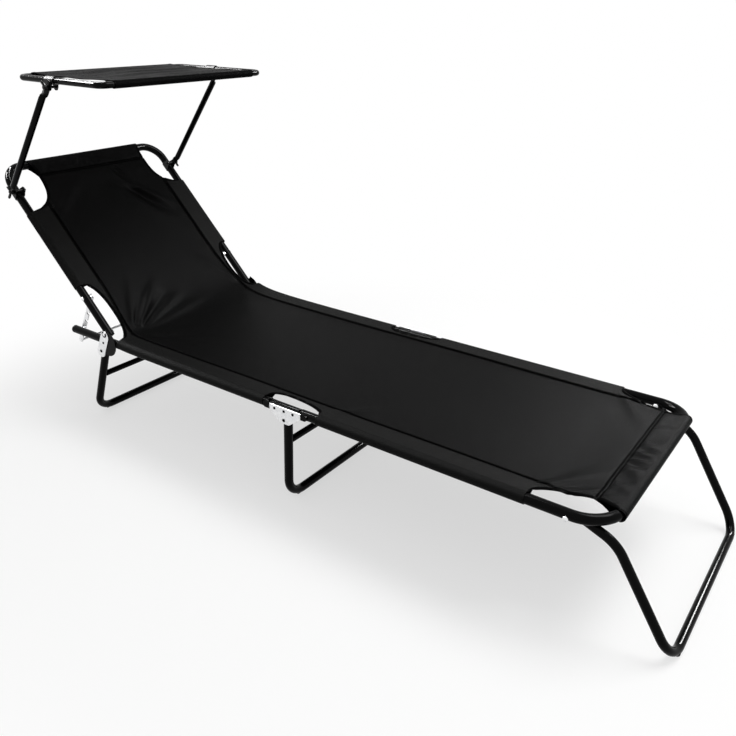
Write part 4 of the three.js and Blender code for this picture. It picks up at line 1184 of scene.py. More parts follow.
@dataclass
class FootSection:
    """The foot frame and its bent leg."""

    start: float = 0.678
    reach: float = 1.37
    corner: float = 0.07
    pivot: tuple[float, float] = (1.295, 0.2455)
    knee: float = 0.093
    dip: float = 22.0
    slope: float = 57.78
    knee_bend: float = 0.08
    floor_corner: float = 0.048
    joint_run: float = 0.01
    tab_length: float = 0.026
    tab_half: tuple[float, float] = (0.008, 0.002)
    radius: float = 0.009
    thinnest: float = 0.0004
    twist_reach: float = 0.6

    @property
    def half(self) -> float:
        """Distance of the floor corners' inner ends from the middle plane."""
        return RAIL_Y - RAIL_RADIUS - FIT - self.radius - self.floor_corner - self.joint_run

    def frame_tube(self) -> None:
        """The bent tube of the foot section."""
        x = np.array([self.start, self.reach, self.reach, self.start])
        y = RAIL_Y * np.array([-1.0, -1.0, 1.0, 1.0])
        line = BentLine(np.stack([x, y, np.full(4, SEAT_LEVEL)], axis=-1), self.corner, 24)
        skin = Tube(line, RAIL_RADIUS, (0, 0, 1)).skin()
        put("tube_of_foot", skin, COAT, "foot_section", "foot_frame")

    def leg_line(self, side: Side) -> tuple[Array, Array]:
        """Stations of one half of the leg: a run that dips, the knee, the slope and the floor corner.

        Args:
            side: the side it is on.

        Returns:
            Places and unit directions, each of shape (n, 3).
        """
        y = side.value * (RAIL_Y - RAIL_RADIUS - FIT - self.radius)
        dip = math.radians(self.dip)
        way = np.array([math.cos(dip), 0.0, -math.sin(dip)])
        pin = np.array([self.pivot[0], y, self.pivot[1]])
        knee = pin + way * self.knee
        floor_x = knee[0] + (knee[2] - self.radius) / math.tan(math.radians(self.slope))
        corner = np.array([floor_x, y, self.radius])
        end = np.array([floor_x, side.value * self.half, self.radius])
        upper = BentLine(np.array([pin + way * self.tab_length, knee, corner]), self.knee_bend).stations()
        lower = BentLine(np.array([knee, corner, end]), self.floor_corner).stations()
        places = np.concatenate([upper[0][:-1], lower[0][1:]])
        return places, np.concatenate([upper[1][:-1], lower[1][1:]])

    def leg_half(self, side: Side) -> float:
        """One half of the leg with its flattened end.

        Args:
            side: the side it is on.

        Returns:
            The floor bar's x.
        """
        places, ways = self.leg_line(side)
        way = ways[0]
        flat_wide, flat_deep = self.tab_half
        tab_y = side.value * (RAIL_Y - RAIL_RADIUS - FIT - flat_deep)
        tip = np.array([self.pivot[0], tab_y, self.pivot[1]])
        tips = np.linspace(1.0, 0.0, TIP_STEPS)
        swell = np.linspace(0.0, 1.0, 10)
        ease = smooth(swell)
        flat = tip + way * (self.tab_length * (0.5 + 0.5 * swell))[:, None]
        flat[:, 1] = tab_y + (places[0][1] - tab_y) * ease
        mouth = places[-1] - Tube.bore * ways[-1:]
        lead_in = tip - flat_wide * tips[:, None] * way
        centres = np.concatenate([lead_in, flat, places[1:], places[-1:], mouth])
        straight = np.repeat(way[None], TIP_STEPS + len(swell), 0)
        lines = np.concatenate([straight, ways[1:], np.repeat(ways[-1:], 2, 0)])
        rounded = np.full(len(places) - 1, self.radius)
        inside = np.full(2, self.radius - RAIL_WALL)
        rounded_tip = np.maximum(flat_wide * flat_end(tips), self.thinnest)
        width = flat_wide + (self.radius - flat_wide) * ease
        depth = flat_deep + (self.radius - flat_deep) * ease
        widths = np.concatenate([rounded_tip, width, rounded, inside])
        depths = np.concatenate([np.full(TIP_STEPS, flat_deep), depth, rounded, inside])
        skin = lofted(carried(centres, lines, self.thin_of(lines, side), widths, depths))
        put(f"tube_of_foot_leg_{side.tag}", skin, COAT, "foot_leg", f"foot_leg_tube_{side.tag}")
        return float(places[-1][0])

    def thin_of(self, lines: Array, side: Side) -> Array:
        """The oval's thin direction: across at the flat end, in the slope's plane past the knee.

        Args:
            lines: directions along the leg, shape (n, 3).
            side: the side it is on.

        Returns:
            Directions of shape (n, 3).
        """
        slope = math.radians(self.slope)
        square = np.array([math.sin(slope), 0.0, math.cos(slope)])
        across = np.array([0.0, float(side.value), 0.0])
        bent = np.cumsum(np.linalg.norm(np.diff(lines, axis=0, prepend=lines[:1]), axis=-1))
        angle = smooth(bent / self.twist_reach) * np.pi / 2.0
        return np.cos(angle)[:, None] * across + np.sin(angle)[:, None] * square

    def build(self) -> None:
        """Frame, leg halves, floor bar and rivets."""
        self.frame_tube()
        floor_x = [self.leg_half(side) for side in Side][0]
        bar = floor_bar(floor_x, self.half, self.radius)
        put("bar_of_foot_leg", bar, COAT, "foot_leg", "foot_leg_floor_bar")
        inner = RAIL_Y - RAIL_RADIUS - FIT - 2.0 * self.tab_half[1]
        for side in Side:
            rivet = Rivet(*self.pivot, inner, RAIL_Y + RAIL_RADIUS).skin(side)
            put(f"rivet_of_foot_leg_{side.tag}", rivet, ZINC, "foot_section", f"foot_leg_pivot_{side.tag}")
            dress_node(f"foot_tongue_{side.tag}", COAT)


@dataclass
class Clip:
    """A strap bent round a tube, with two ears that a wing screw crosses.

    Attributes:
        name: start of the piece's name.
        body: the body it rides on.
        tube_radius: radius of the tube inside.
        screw_at: distance from the tube's centre to the screw.
        width: the strap's width along the tube.
    """

    name: str
    body: str
    tube_radius: float
    screw_at: float
    width: float
    thickness: float = 0.002
    ear: float = 0.0085
    ear_steps: int = 26
    thinnest: float = 0.0003

    def skin(self, centre: Array, along: Array, ears: Array) -> Skin:
        """A strip along the U-shaped line, as wide as the clip there, and thickened inwards.

        The line goes down one ear, round the tube by r · (sin a, −cos a), and up the other. Its half width
        narrows from the strap's to the ear's and ends in a round tip, sqrt(ear² − h²).

        Args:
            centre: the tube's centre under the clip's middle.
            along: the tube's direction.
            ears: the direction in which the ears point.

        Returns:
            Points and faces of the closed skin.
        """
        radius = self.tube_radius + FIT + self.thickness
        tip = self.screw_at + self.ear
        height = tip - np.linspace(0.0, 1.0, self.ear_steps) ** 1.3 * tip
        angle = np.linspace(0.0, np.pi, 25)[1:-1]
        straight = np.full(self.ear_steps, radius)
        out = np.concatenate([-straight, -radius * np.cos(angle), straight])
        up = np.concatenate([height, -radius * np.sin(angle), height[::-1]])
        waist = self.tube_radius * 0.5
        narrow = smooth((up - waist) / (self.screw_at - waist))
        half = self.width / 2.0 + (self.ear - self.width / 2.0) * narrow
        past = np.clip((up - self.screw_at) / self.ear, 0.0, 1.0)
        half = np.maximum(half * flat_end(past), self.thinnest)
        across = np.linspace(-1.0, 1.0, 11)
        side = np.cross(along, ears)
        points = (centre + out[:, None, None] * side + up[:, None, None] * ears
                  + (half[:, None] * across)[:, :, None] * along)
        quads = grid_faces(len(out), len(across))
        flat = points.reshape(-1, 3)
        if (face_normals(flat, quads) * (flat[quads].mean(1) - centre)).sum() < 0:
            quads = quads[:, ::-1]
        return thick_sheet(flat, quads, np.zeros((len(flat), 2)), self.thickness)[:2]


@dataclass
class WingScrew:
    """A wing screw along Y: shank, hub and two rounded wings that splay outwards."""

    shank: float = 0.003
    hub: float = 0.006
    neck: float = 0.005
    hub_length: float = 0.011
    span: float = 0.0185
    wing_half: float = 0.0046
    wing_thin: float = 0.0026
    wing_from: float = 0.006
    splay: float = 28.0
    turn: float = 95.0
    past: float = 0.005
    blunt: float = 0.8
    chamfer: float = 0.0006
    collar: float = 0.002
    hub_shares: tuple[tuple[float, float], ...] = ((1.0, 0.8), (0.8, 0.95), (0.45, 1.0))

    def skin(self, place: Array, side: Side, tip: float, seat: float) -> Skin:
        """Shank and hub are turned; a wing is an oval carried outwards, widest near its tip.

        Args:
            place: the screw's axis (x, z).
            side: the side it is on.
            tip: distance of the shank's inner end from the middle plane.
            seat: distance of the arm's outer face.

        Returns:
            Points and faces.
        """
        start = seat + FIT
        centre = (place[0], 0.0, place[1])
        axis = np.array([0.0, float(side.value), 0.0])
        shank = [(self.shank * self.blunt, tip), (self.shank, tip + self.chamfer), (self.shank, start)]
        hub = [(self.neck, start), (self.hub, start + self.collar)]
        hub += [(self.hub * wide, start + self.hub_length * high) for wide, high in self.hub_shares]
        parts = [turned(shank, centre, axis, 20), turned(hub, centre, axis, 24)]
        share = np.linspace(0.0, 1.0, 15)
        swell = 0.7 + 0.5 * smooth(share * 1.4)
        width = self.wing_half * swell * flat_end(np.clip((share - 0.72) / 0.28, 0, 0.995))
        taper = 1.1 - 0.35 * share
        thin = self.wing_thin * taper * np.sqrt(flat_end(np.clip((share - 0.8) / 0.2, 0, 0.99)))
        splay = math.radians(self.splay)
        for turn in (self.turn, self.turn + 180.0):
            out = np.array([math.cos(math.radians(turn)), 0.0, -math.sin(math.radians(turn))])
            way = math.cos(splay) * out + math.sin(splay) * axis
            root = np.array(centre) + axis * (start + self.wing_from)
            centres = root + (share * self.span)[:, None] * way
            ways = np.broadcast_to(way, centres.shape)
            square = np.cross(way, np.cross(axis, way))
            parts.append(lofted(carried(centres, ways, square, width, thin, 18)))
        return combined(parts)


@dataclass
class Canopy:
    """The canopy: bent frame, arms, clips, wing screws and the cloth."""

    width: float = 0.512
    depth: float = 0.322
    radius: float = 0.0075
    corner: float = 0.02
    centre_back: float = 0.0475
    level: float = 0.9042
    tilt: float = 0.8
    arm_radius: float = 0.008
    tab: float = 0.003
    tab_width: float = 0.018
    crimp: float = 0.012
    top_reach: float = 0.018
    clip_ahead: float = -0.027
    arm_along: float = 0.459
    lower: Clip = field(default_factory=lambda: Clip("lower_clip", "backrest", RAIL_RADIUS, 0.015, 0.024))
    upper: Clip = field(default_factory=lambda: Clip("upper_clip", "canopy", 0.0075, 0.0145, 0.034))
    screw: WingScrew = field(default_factory=WingScrew)
    crimp_steps: int = 12
    frame_wall: float = 0.001
    hem: float = 0.014
    wrap_reach: float = 0.03
    wrap_drop: float = 0.0022
    slack: float = 0.0035
    bead: float = 0.0009

    def place(self, ahead: Array, across: Array, rise: Array) -> Array:
        """Places on the canopy: ahead of its middle, across, and above its tubes' plane.

        Args:
            ahead: distance ahead of its middle.
            across: distance to the left.
            rise: height over the tubes' plane.

        Returns:
            Points of shape (..., 3) with the backrest pivot at x = 0.
        """
        ahead, across, rise = np.broadcast_arrays(ahead, across, rise)
        lean = math.radians(self.tilt)
        x = -self.centre_back + ahead * math.cos(lean) + rise * math.sin(lean)
        return np.stack([x, across, self.level - ahead * math.sin(lean) + rise * math.cos(lean)], axis=-1)

    @property
    def up(self) -> Array:
        """The direction square to the canopy."""
        return unit(self.place(0.0, 0.0, 1.0) - self.place(0.0, 0.0, 0.0))

    def frame_tube(self) -> None:
        """The bent tube, closed at a join on the rear bar that the cloth covers."""
        x, y = self.depth / 2.0, self.width / 2.0
        ahead = np.array([-x, -x, x, x, -x, -x])
        across = np.array([-y / 2.0, y, y, -y, -y, -y / 2.0 - FIT])
        line = BentLine(self.place(ahead, across, 0.0), self.corner)
        skin = Tube(line, self.radius, tuple(self.up), wall=self.frame_wall, sides=28).skin()
        put("tube_of_canopy", skin, COAT, "canopy", "canopy_frame")

    def arm(self, side: Side, low: Array, high: Array, low_y: float, high_y: float) -> None:
        """An arm: a round tube whose ends are pressed flat and rounded.

        Args:
            side: the side it is on.
            low: the lower bolt's (x, z).
            high: the upper bolt's (x, z).
            low_y: distance of the lower flat's middle from the middle plane.
            high_y: the same for the upper flat.
        """
        first = np.array([low[0], side.value * low_y, low[1]])
        last = np.array([high[0], side.value * high_y, high[1]])
        way = unit(last - first)
        span = float(np.linalg.norm(last - first))
        half = self.tab_width / 2.0
        end = span + self.top_reach - half
        lead = np.linspace(0.995, 0.0, TIP_STEPS)
        tips = flat_end(lead)
        ramp = np.linspace(0.0, 1.0, self.crimp_steps)
        low_swell = half + self.crimp * ramp
        top_swell = end - self.top_reach - half - self.crimp * ramp[::-1]
        along = np.concatenate([-half * lead, low_swell, top_swell, end + half * lead[::-1]])
        level = np.zeros(TIP_STEPS)
        ease = np.concatenate([level, smooth(ramp), smooth(ramp)[::-1], level])
        width = half + (self.arm_radius - half) * ease
        width = width * np.concatenate([tips, np.ones(2 * self.crimp_steps), tips[::-1]])
        thick = self.tab / 2.0 + (self.arm_radius - self.tab / 2.0) * ease
        centres = first + along[:, None] * way
        centres[:, 1] += side.value * ease * (self.arm_radius - self.tab / 2.0)
        ways = np.broadcast_to(way, centres.shape)
        skin = lofted(carried(centres, ways, (0.0, side.value, 0.0), width, thick))
        put(f"tube_of_arm_{side.tag}", skin, COAT, "canopy_arms", f"canopy_arm_{side.tag}")

    def fittings(self) -> None:
        """Clips, arms and wing screws on both sides."""
        low_bolt = on_back(self.arm_along, 0.0, self.lower.screw_at)[[0, 2]]
        high_bolt = self.place(self.clip_ahead, 0.0, -self.upper.screw_at)[[0, 2]]
        low_out = RAIL_Y + self.lower.tube_radius + FIT + self.lower.thickness
        high_out = self.width / 2.0 + self.upper.tube_radius + FIT + self.upper.thickness
        back_way = np.array([-BACK_COS, 0.0, BACK_SIN])
        back_up = np.array([BACK_SIN, 0.0, BACK_COS])
        ahead = unit(self.place(1.0, 0.0, 0.0) - self.place(0.0, 0.0, 0.0))
        tab = self.tab / 2.0
        for side in Side:
            self.arm(side, low_bolt, high_bolt, low_out + FIT + tab, high_out + FIT + tab)
            low_place = on_back(self.arm_along, side.value * RAIL_Y, 0.0)
            high_place = self.place(self.clip_ahead, side.value * self.width / 2.0, 0.0)
            for word, clip, centre, along, ears, bolt, out in (
                ("lower", self.lower, low_place, back_way, back_up, low_bolt, low_out),
                ("upper", self.upper, high_place, ahead, -self.up, high_bolt, high_out),
            ):
                put(f"strap_of_{clip.name}_{side.tag}", clip.skin(centre, along, ears), PLASTIC, clip.body,
                    f"{clip.name}_{side.tag}")
                tip = 2.0 * abs(centre[1]) - out - self.screw.past
                skin = self.screw.skin(bolt, side, tip, out + FIT + self.tab)
                put(f"{word}_knob_of_arm_{side.tag}", skin, PLASTIC, f"{word}_knob_{side.tag}",
                    f"{word}_wing_screw_{side.tag}")

    def cloth(self) -> None:
        """The cloth over both bars: wrapped past them and slack between, with long soft folds.

        A row's height over the tubes' plane is the sleeve's radius less the slack 1 − s², plus folds
        sin(k · a + wander), which fade towards the bars.
        """
        reach = self.width / 2.0 - self.corner - self.hem
        radius = self.radius + FIT + CLOTH
        past = np.linspace(0.0, 1.0, 19)[1:]
        seam = (-self.wrap_reach, radius - self.wrap_drop)
        wrap_out, wrap_up = wrapped(past * (radius * WRAP_TURN + self.wrap_reach), radius, seam)
        half = self.depth / 2.0
        main = np.linspace(-half, half, 73)
        ahead = np.concatenate([-half - wrap_out[::-1], main, half + wrap_out])
        height = np.concatenate([wrap_up[::-1], np.full(len(main), radius), wrap_up])
        flat = np.concatenate([np.zeros(len(past)), np.ones(len(main)), np.zeros(len(past))])
        across = np.linspace(-reach, reach, 121)
        a, y = np.meshgrid(ahead, across, indexing="ij")
        inside = flat[:, None] * np.clip(1.0 - (a / half) ** 2, 0.0, 1.0)
        slack = self.slack * inside
        wander = 0.6 * np.sin(11.0 * y + 0.7) + 0.35 * np.sin(29.0 * y + 2.0)
        folds = 0.0011 * np.sin(95.0 * a + 2.2 * wander) * smooth(1.3 - np.abs(y - 0.03) / reach)
        folds += 0.0007 * np.sin(47.0 * a - 9.0 * y + 1.0)
        edge = self.bead * np.exp(-((np.abs(y) - reach + 0.006) / 0.003) ** 2)
        points = self.place(a, y, height[:, None] - slack + folds * np.sqrt(inside) + edge * flat[:, None])
        quads = grid_faces(len(ahead), len(across))
        flat_points = points.reshape(-1, 3)
        if face_normals(flat_points, quads)[len(quads) // 2, 2] < 0:
            quads = quads[:, ::-1]
        length = run_length(ahead, height)
        uv = np.stack(np.broadcast_arrays(across[None, :], length[:, None]), axis=-1).reshape(-1, 2)
        skin, faces, coordinates = thick_sheet(flat_points, quads, uv, CLOTH)
        piece = make_piece("cloth_of_canopy", skin, faces, CANOPY, coordinates)
        settle(piece, "canopy", "canopy_fabric")

    def build(self) -> None:
        """Makes the whole canopy."""
        self.frame_tube()
        self.fittings()
        self.cloth()


@dataclass(frozen=True)
class Bite:
    """A cut-out of the sheet's edge, from start to end along it, deepest in between."""

    start: float
    deepest: float
    end: float
    depth: float
    fullness: float = 2.0

    def cut(self, along: Array) -> Array:
        """depth · sqrt(1 − u^fullness), where u grows from 0 at the deepest place to 1 at either end.

        Args:
            along: places along the sheet.

        Returns:
            How far the edge moves in at each place.
        """
        before = (self.deepest - along) / (self.deepest - self.start)
        after = (along - self.deepest) / (self.end - self.deepest)
        u = np.clip(np.where(along < self.deepest, before, after), 0.0, 1.0)
        return self.depth * np.sqrt(1.0 - u ** self.fullness)


@dataclass(frozen=True)
class Fold:
    """A soft ridge of the cloth, or a furrow with a negative height, between two (along, across) places."""

    start: tuple[float, float]
    end: tuple[float, float]
    width: float
    height: float

    def rise(self, along: Array, across: Array) -> Array:
        """height · exp(−(d / width)²) times an ease in and out over the fold's length.

        Args:
            along: places along the sheet.
            across: places across it.

        Returns:
            The height at each place.
        """
        first = np.array(self.start)
        line = np.array(self.end) - first
        length = float(np.hypot(*line))
        a, b = along - first[0], across - first[1]
        share = (a * line[0] + b * line[1]) / length ** 2
        away = (a * line[1] - b * line[0]) / length
        spread = self.width * (0.55 + 0.75 * np.clip(share, 0.0, 1.0))
        ends = smooth(share / 0.16) * smooth((1.0 - share) / 0.55)
        return self.height * np.exp(-((away / spread) ** 2)) * ends


@dataclass
class Sling:
    """The lying surface: one sheet over head bar, backrest, seat, fold and foot bar.

    A place on it is (along, across). Along is measured from the corner where the backrest's and the
    seat's top planes meet: negative up the backrest, positive towards the foot.
    """

    radius: float = RAIL_RADIUS + FIT + CLOTH
    sag: float = 0.007
    stiff_reach: float = 0.15
    back_length: float = 0.5415
    foot_reach: float = 1.37
    border: float = 0.165
    head_hem: float = 0.0455
    foot_hem: float = 0.0465
    hem_drop: float = 0.0042
    sleeve_drop: float = 0.0039
    sleeve_spare: float = 0.0005
    sleeves_width: float = 0.18
    wrap_width: float = 0.4
    row_step: float = 0.0055
    fold_spare: float = 0.003
    bar_gap: float = 0.002
    shortest_hem: float = 0.012
    binding_inset: float = 0.0042
    binding_half: tuple[float, float] = (0.0048, 0.0014)
    crease: tuple[float, float] = (-0.105, 0.008)
    bridge: tuple[float, float] = (0.016, 0.066)
    bridge_half: float = 0.21
    taper_reach: float = 0.006
    seam_gap: float = 0.0027
    hem_gap: float = 0.003
    stitch_margin: float = 0.01
    stitch_end: float = 0.012
    furrow: float = 0.003
    seam_depth: float = 0.0026
    hem_depth: float = 0.0024
    border_rise: float = 0.0014
    head_ripple: float = 0.0018
    foot_ripple: float = 0.0032
    stitch_pitch: float = 0.0042
    stitch_share: float = 0.78
    thread_radius: float = 0.00042
    folds: tuple[Fold, ...] = (
        Fold((-0.010, -0.182), (-0.150, -0.020), 0.012, 0.0075),
        Fold((-0.010, -0.172), (-0.100, -0.005), 0.010, -0.0060),
        Fold((-0.004, -0.166), (-0.080, 0.040), 0.012, 0.0064),
        Fold((-0.016, -0.190), (-0.130, -0.085), 0.009, -0.0050),
        Fold((-0.020, -0.196), (-0.170, -0.110), 0.012, 0.0042),
        Fold((0.004, -0.160), (-0.034, 0.120), 0.016, 0.0052),
        Fold((-0.525, 0.050), (-0.425, 0.110), 0.013, -0.0052),
        Fold((-0.455, 0.055), (-0.300, 0.170), 0.016, -0.0062),
        Fold((-0.445, 0.085), (-0.330, 0.190), 0.013, 0.0048),
        Fold((-0.470, 0.000), (-0.280, 0.150), 0.022, 0.0030),
        Fold((-0.400, -0.190), (-0.520, -0.050), 0.018, 0.0024),
        Fold((-0.020, 0.215), (-0.200, 0.120), 0.020, 0.0036),
        Fold((0.030, -0.205), (0.200, -0.050), 0.020, -0.0020),
        Fold((0.020, 0.205), (0.170, 0.060), 0.024, 0.0020),
        Fold((1.190, -0.232), (1.300, -0.060), 0.018, 0.0030),
        Fold((1.200, -0.215), (1.330, -0.120), 0.012, -0.0028),
        Fold((1.190, 0.232), (1.310, 0.060), 0.018, 0.0026),
        Fold((0.700, -0.240), (0.800, -0.140), 0.016, 0.0018),
    )

    @property
    def corner(self) -> Array:
        """Where the two top planes meet, (x, z)."""
        top = SEAT_LEVEL + self.radius
        up = (top - PIVOT_Z - self.radius * BACK_COS) / BACK_SIN
        return np.array([-up * BACK_COS + self.radius * BACK_SIN, top])

    @property
    def corner_along(self) -> float:
        """The corner's distance up the backrest from the pivot (it is below it)."""
        return (SEAT_LEVEL + self.radius - PIVOT_Z - self.radius * BACK_COS) / BACK_SIN

    def from_back(self, up: float) -> float:
        """Along for a distance up the backrest."""
        return self.corner_along - up

    def from_seat(self, x: float) -> float:
        """Along for a place x on the seat or foot section."""
        return x - float(self.corner[0])

    @property
    def head_bar(self) -> float:
        """Along of the head bar's crown."""
        return self.from_back(self.back_length)

    @property
    def foot_bar(self) -> float:
        """Along of the foot bar's crown."""
        return self.from_seat(self.foot_reach)

    def bites(self) -> list[Bite]:
        """The cut-outs at the head corners, the backrest hinge, the fold and the foot corners."""
        back, seat, foot = self.sleeves()
        return [
            Bite(self.head_bar - 0.035, self.from_back(0.5), back[0], depth=0.08, fullness=3.0),
            Bite(back[1], self.from_back(0.044), seat[0], depth=0.038, fullness=2.5),
            Bite(seat[1], self.from_seat(0.617), foot[0], depth=0.028),
            Bite(foot[1], self.from_seat(1.335), self.foot_bar + 0.05, depth=0.0575, fullness=1.3),
        ]

    def sleeves(self) -> list[tuple[float, float]]:
        """The stretches along which the sheet is sewn round the side tubes."""
        return [
            (self.from_back(0.39), self.from_back(0.148)),
            (self.from_seat(0.0425), self.from_seat(0.5685)),
            (self.from_seat(0.7245), self.from_seat(1.2135)),
        ]

    def edge(self, along: Array) -> Array:
        """Half width of the sheet without its sleeves."""
        return RAIL_Y - sum(bite.cut(along) for bite in self.bites())

    def seam(self, along: Array) -> Array:
        """Distance of the side seams from the middle."""
        return SEAM_BACK + (SEAM_SEAT - SEAM_BACK) * smooth((along - SEAM_FROM) / (SEAM_TO - SEAM_FROM))

    def rise(self, along: Array, across: Array) -> Array:
        """Height of the unloaded sheet over the tubes' crowns: sag, borders, seams, folds and hems.

        The sag is (1 − (y / rail)²) and eases to nothing at the bars. A seam is a furrow
        exp(−(d / furrow)²). The hems at the bars carry short ripples across.

        Args:
            along: places along the sheet.
            across: places across it.

        Returns:
            The height at each place.
        """
        bow = 1.0 - (across / RAIL_Y) ** 2
        ends = np.minimum(along - self.head_bar, self.foot_bar - along)
        hold = smooth(ends / self.stiff_reach)
        sheet = -self.sag * bow * hold
        away = np.abs(across) - self.seam(along)
        held = smooth((ends - 0.02) / 0.03)
        sheet -= self.seam_depth * np.exp(-((away / self.furrow) ** 2)) * held
        sheet += self.border_rise * smooth((away + 0.001) / 0.004) * held
        loose = smooth((RAIL_Y - np.abs(across)) / 0.05)
        folds = sum(fold.rise(along, across) for fold in self.folds)
        drift = 0.0007 * np.sin(9.0 * along + 5.0 * across) * np.sin(14.0 * across - 3.0 * along + 1.0)
        sheet += (folds + drift) * loose * smooth(ends / 0.03)
        head, foot = along - self.head_bar, self.foot_bar - along
        bars = ((head, self.head_hem, self.head_ripple), (foot, self.foot_hem, self.foot_ripple))
        for away_bar, hem, height in bars:
            sheet -= self.hem_depth * np.exp(-(((away_bar - hem) / self.furrow) ** 2))
            band = smooth(away_bar / (0.4 * hem)) * smooth((hem - away_bar) / (0.3 * hem))
            wander = 1.4 * np.sin(17.0 * across + 0.5) + 0.8 * np.sin(41.0 * across + 22.0 * away_bar)
            ripple = np.sin(118.0 * across + 1.8 * wander + 14.0 * away_bar)
            sheet += height * band * ripple * (0.55 + 0.45 * np.sin(13.0 * across + 2.0))
        return sheet

    def place(self, along: Array, across: Array, height: Array) -> Array:
        """Points at a height over the tubes' plane.

        The line is corner + p(t) · seat + p(−t) · back with p(t) = (t + sqrt(t² + k²)) / 2, so it rounds
        the corner; k grows from the near to the far side, where the cloth bridges it more loosely.

        Args:
            along: places along the sheet.
            across: places across it.
            height: height over the tubes' plane.

        Returns:
            Points of shape (..., 3) with the backrest pivot at x = 0.
        """
        near, far = self.bridge
        k = near + (far - near) * smooth((across + self.bridge_half) / (2.0 * self.bridge_half))
        root = np.sqrt(along ** 2 + k ** 2)
        ahead, back = (along + root) / 2.0, (root - along) / 2.0
        d_ahead, d_back = (1.0 + along / root) / 2.0, (along / root - 1.0) / 2.0
        x = self.corner[0] + ahead - back * BACK_COS
        z = self.corner[1] + back * BACK_SIN
        slope_x, slope_z = d_ahead - d_back * BACK_COS, d_back * BACK_SIN
        length = np.hypot(slope_x, slope_z)
        above = (height - self.radius) / length
        return np.stack(np.broadcast_arrays(x - slope_z * above, across, z + slope_x * above), -1)

    def on_sheet(self, along: Array, across: Array, above: float = 0.0) -> Array:
        """Points on the sheet itself, or a little above it."""
        return self.place(along, across, self.radius + self.rise(along, across) + above)

    def sleeve(self, seam: tuple[float, float]) -> tuple[Array, Array]:
        """Stations of the cloth past a tube's crown, round it and on to where it is sewn.

        Args:
            seam: where it is sewn: outwards from the tube, above the tubes' plane.

        Returns:
            Distances outwards from the tube and above the tubes' plane.
        """
        corner = (self.radius * math.sin(WRAP_TURN), self.radius * math.cos(WRAP_TURN))
        reach = self.radius * WRAP_TURN + math.dist(corner, seam)
        return wrapped(np.linspace(0.0, 1.0, 25)[1:] * reach, self.radius, seam)

    def columns(self) -> tuple[Array, Array, Array]:
        """Stations across the sheet.

        Returns:
            Distance from the middle at full width, height over the tubes' plane, and whether in a sleeve.
        """
        middle = np.linspace(-self.border, self.border, 61)
        side = np.linspace(self.border, RAIL_Y, 33)[1:]
        out, up = self.sleeve((SEAM_SEAT + self.sleeve_spare - RAIL_Y, self.radius - self.sleeve_drop))
        across = np.concatenate([-(RAIL_Y + out)[::-1], -side[::-1], middle, side, RAIL_Y + out])
        flat = np.full(len(middle) + 2 * len(side), self.radius)
        height = np.concatenate([up[::-1], flat, up])
        sleeve = np.concatenate([np.ones(len(out)), np.zeros(len(flat)), np.ones(len(out))]).astype(bool)
        return across, height, sleeve

    def rows(self, start: float, end: float) -> tuple[Array, Array, Array]:
        """Stations along one piece, with the wrap past a bar where the piece reaches it.

        Args:
            start: where the piece begins along the sheet.
            end: where it ends.

        Returns:
            Along, height over the tubes' plane, and whether in a wrap.
        """
        breaks = sorted({start, end, *[b for pair in self.sleeves() for b in pair if start < b < end]})
        along = np.unique(np.concatenate([
            np.linspace(a, b, max(2, round((b - a) / self.row_step) + 1)) for a, b in zip(breaks, breaks[1:])
        ]))
        height = np.full(len(along), self.radius)
        wrap = np.zeros(len(along), bool)
        for bar, sign, hem in ((self.head_bar, -1, self.head_hem), (self.foot_bar, 1, self.foot_hem)):
            if start <= bar <= end:
                out, up = self.sleeve((-hem, self.radius - self.hem_drop))
                pairs = ((along, bar + sign * out), (height, up), (wrap, np.ones(len(out), bool)))
                along, height, wrap = (np.concatenate([old, new] if sign > 0 else [new[::-1], old])
                                       for old, new in pairs)
        return along, height, wrap

    def sheet(self, name: str, start: float, end: float) -> tuple[bpy.types.Object, float]:
        """One piece of the sheet between two places along it.

        Args:
            name: the piece's name.
            start: where the piece begins along the sheet.
            end: where it ends.

        Returns:
            The piece and the length of cloth in it.
        """
        along, row_height, wrap = self.rows(start, end)
        across, column_height, sleeve = self.columns()
        bar_along = np.clip(along, self.head_bar, self.foot_bar)
        half = self.edge(bar_along)[:, None]
        over = np.clip(np.abs(across) - self.border, 0.0, None)[None, :]
        narrowed = np.sign(across) * (self.border + over * (half - self.border) / (RAIL_Y - self.border))
        y = np.where(sleeve[None, :] | (np.abs(across) <= self.border)[None, :], across[None, :], narrowed)
        t = np.broadcast_to(along[:, None], y.shape)
        flat = ~(wrap[:, None] | sleeve[None, :])
        height = row_height[:, None] + column_height[None, :] - self.radius
        height = height + np.where(flat, self.rise(t, y), 0.0)
        points = self.place(t, y, height).reshape(-1, 3)
        middle_row = (along[:-1] + along[1:]) / 2.0
        sewn = np.zeros(len(along), bool)
        between = np.zeros(len(middle_row), bool)
        for first, last in self.sleeves():
            sewn |= (along >= first - 1e-9) & (along <= last + 1e-9) & ~wrap
            between |= (middle_row > first) & (middle_row < last)
        row_sewn = sewn[:-1] & sewn[1:] & between
        column_sleeve = sleeve[:-1] | sleeve[1:]
        keep = (~column_sleeve)[None, :] | row_sewn[:, None]
        quads = grid_faces(len(along), len(across))[keep.ravel()]
        centre = points[quads].mean(1)
        top = np.argmax(centre[:, 2] - 10.0 * np.abs(centre[:, 1]))
        if face_normals(points, quads)[top] @ (0.3, 0.0, 1.0) < 0:
            quads = quads[:, ::-1]
        lengths, widths = run_length(along, row_height), run_length(across, column_height)
        u = np.where(sleeve[None, :], widths[None, :] - widths[len(widths) // 2], y)
        first_flat = lengths[np.flatnonzero(~wrap)[0]]
        uv = np.stack(np.broadcast_arrays(u, lengths[:, None] - first_flat + start), axis=-1).reshape(-1, 2)
        solid, faces, coordinates = thick_sheet(points, quads, uv, CLOTH)
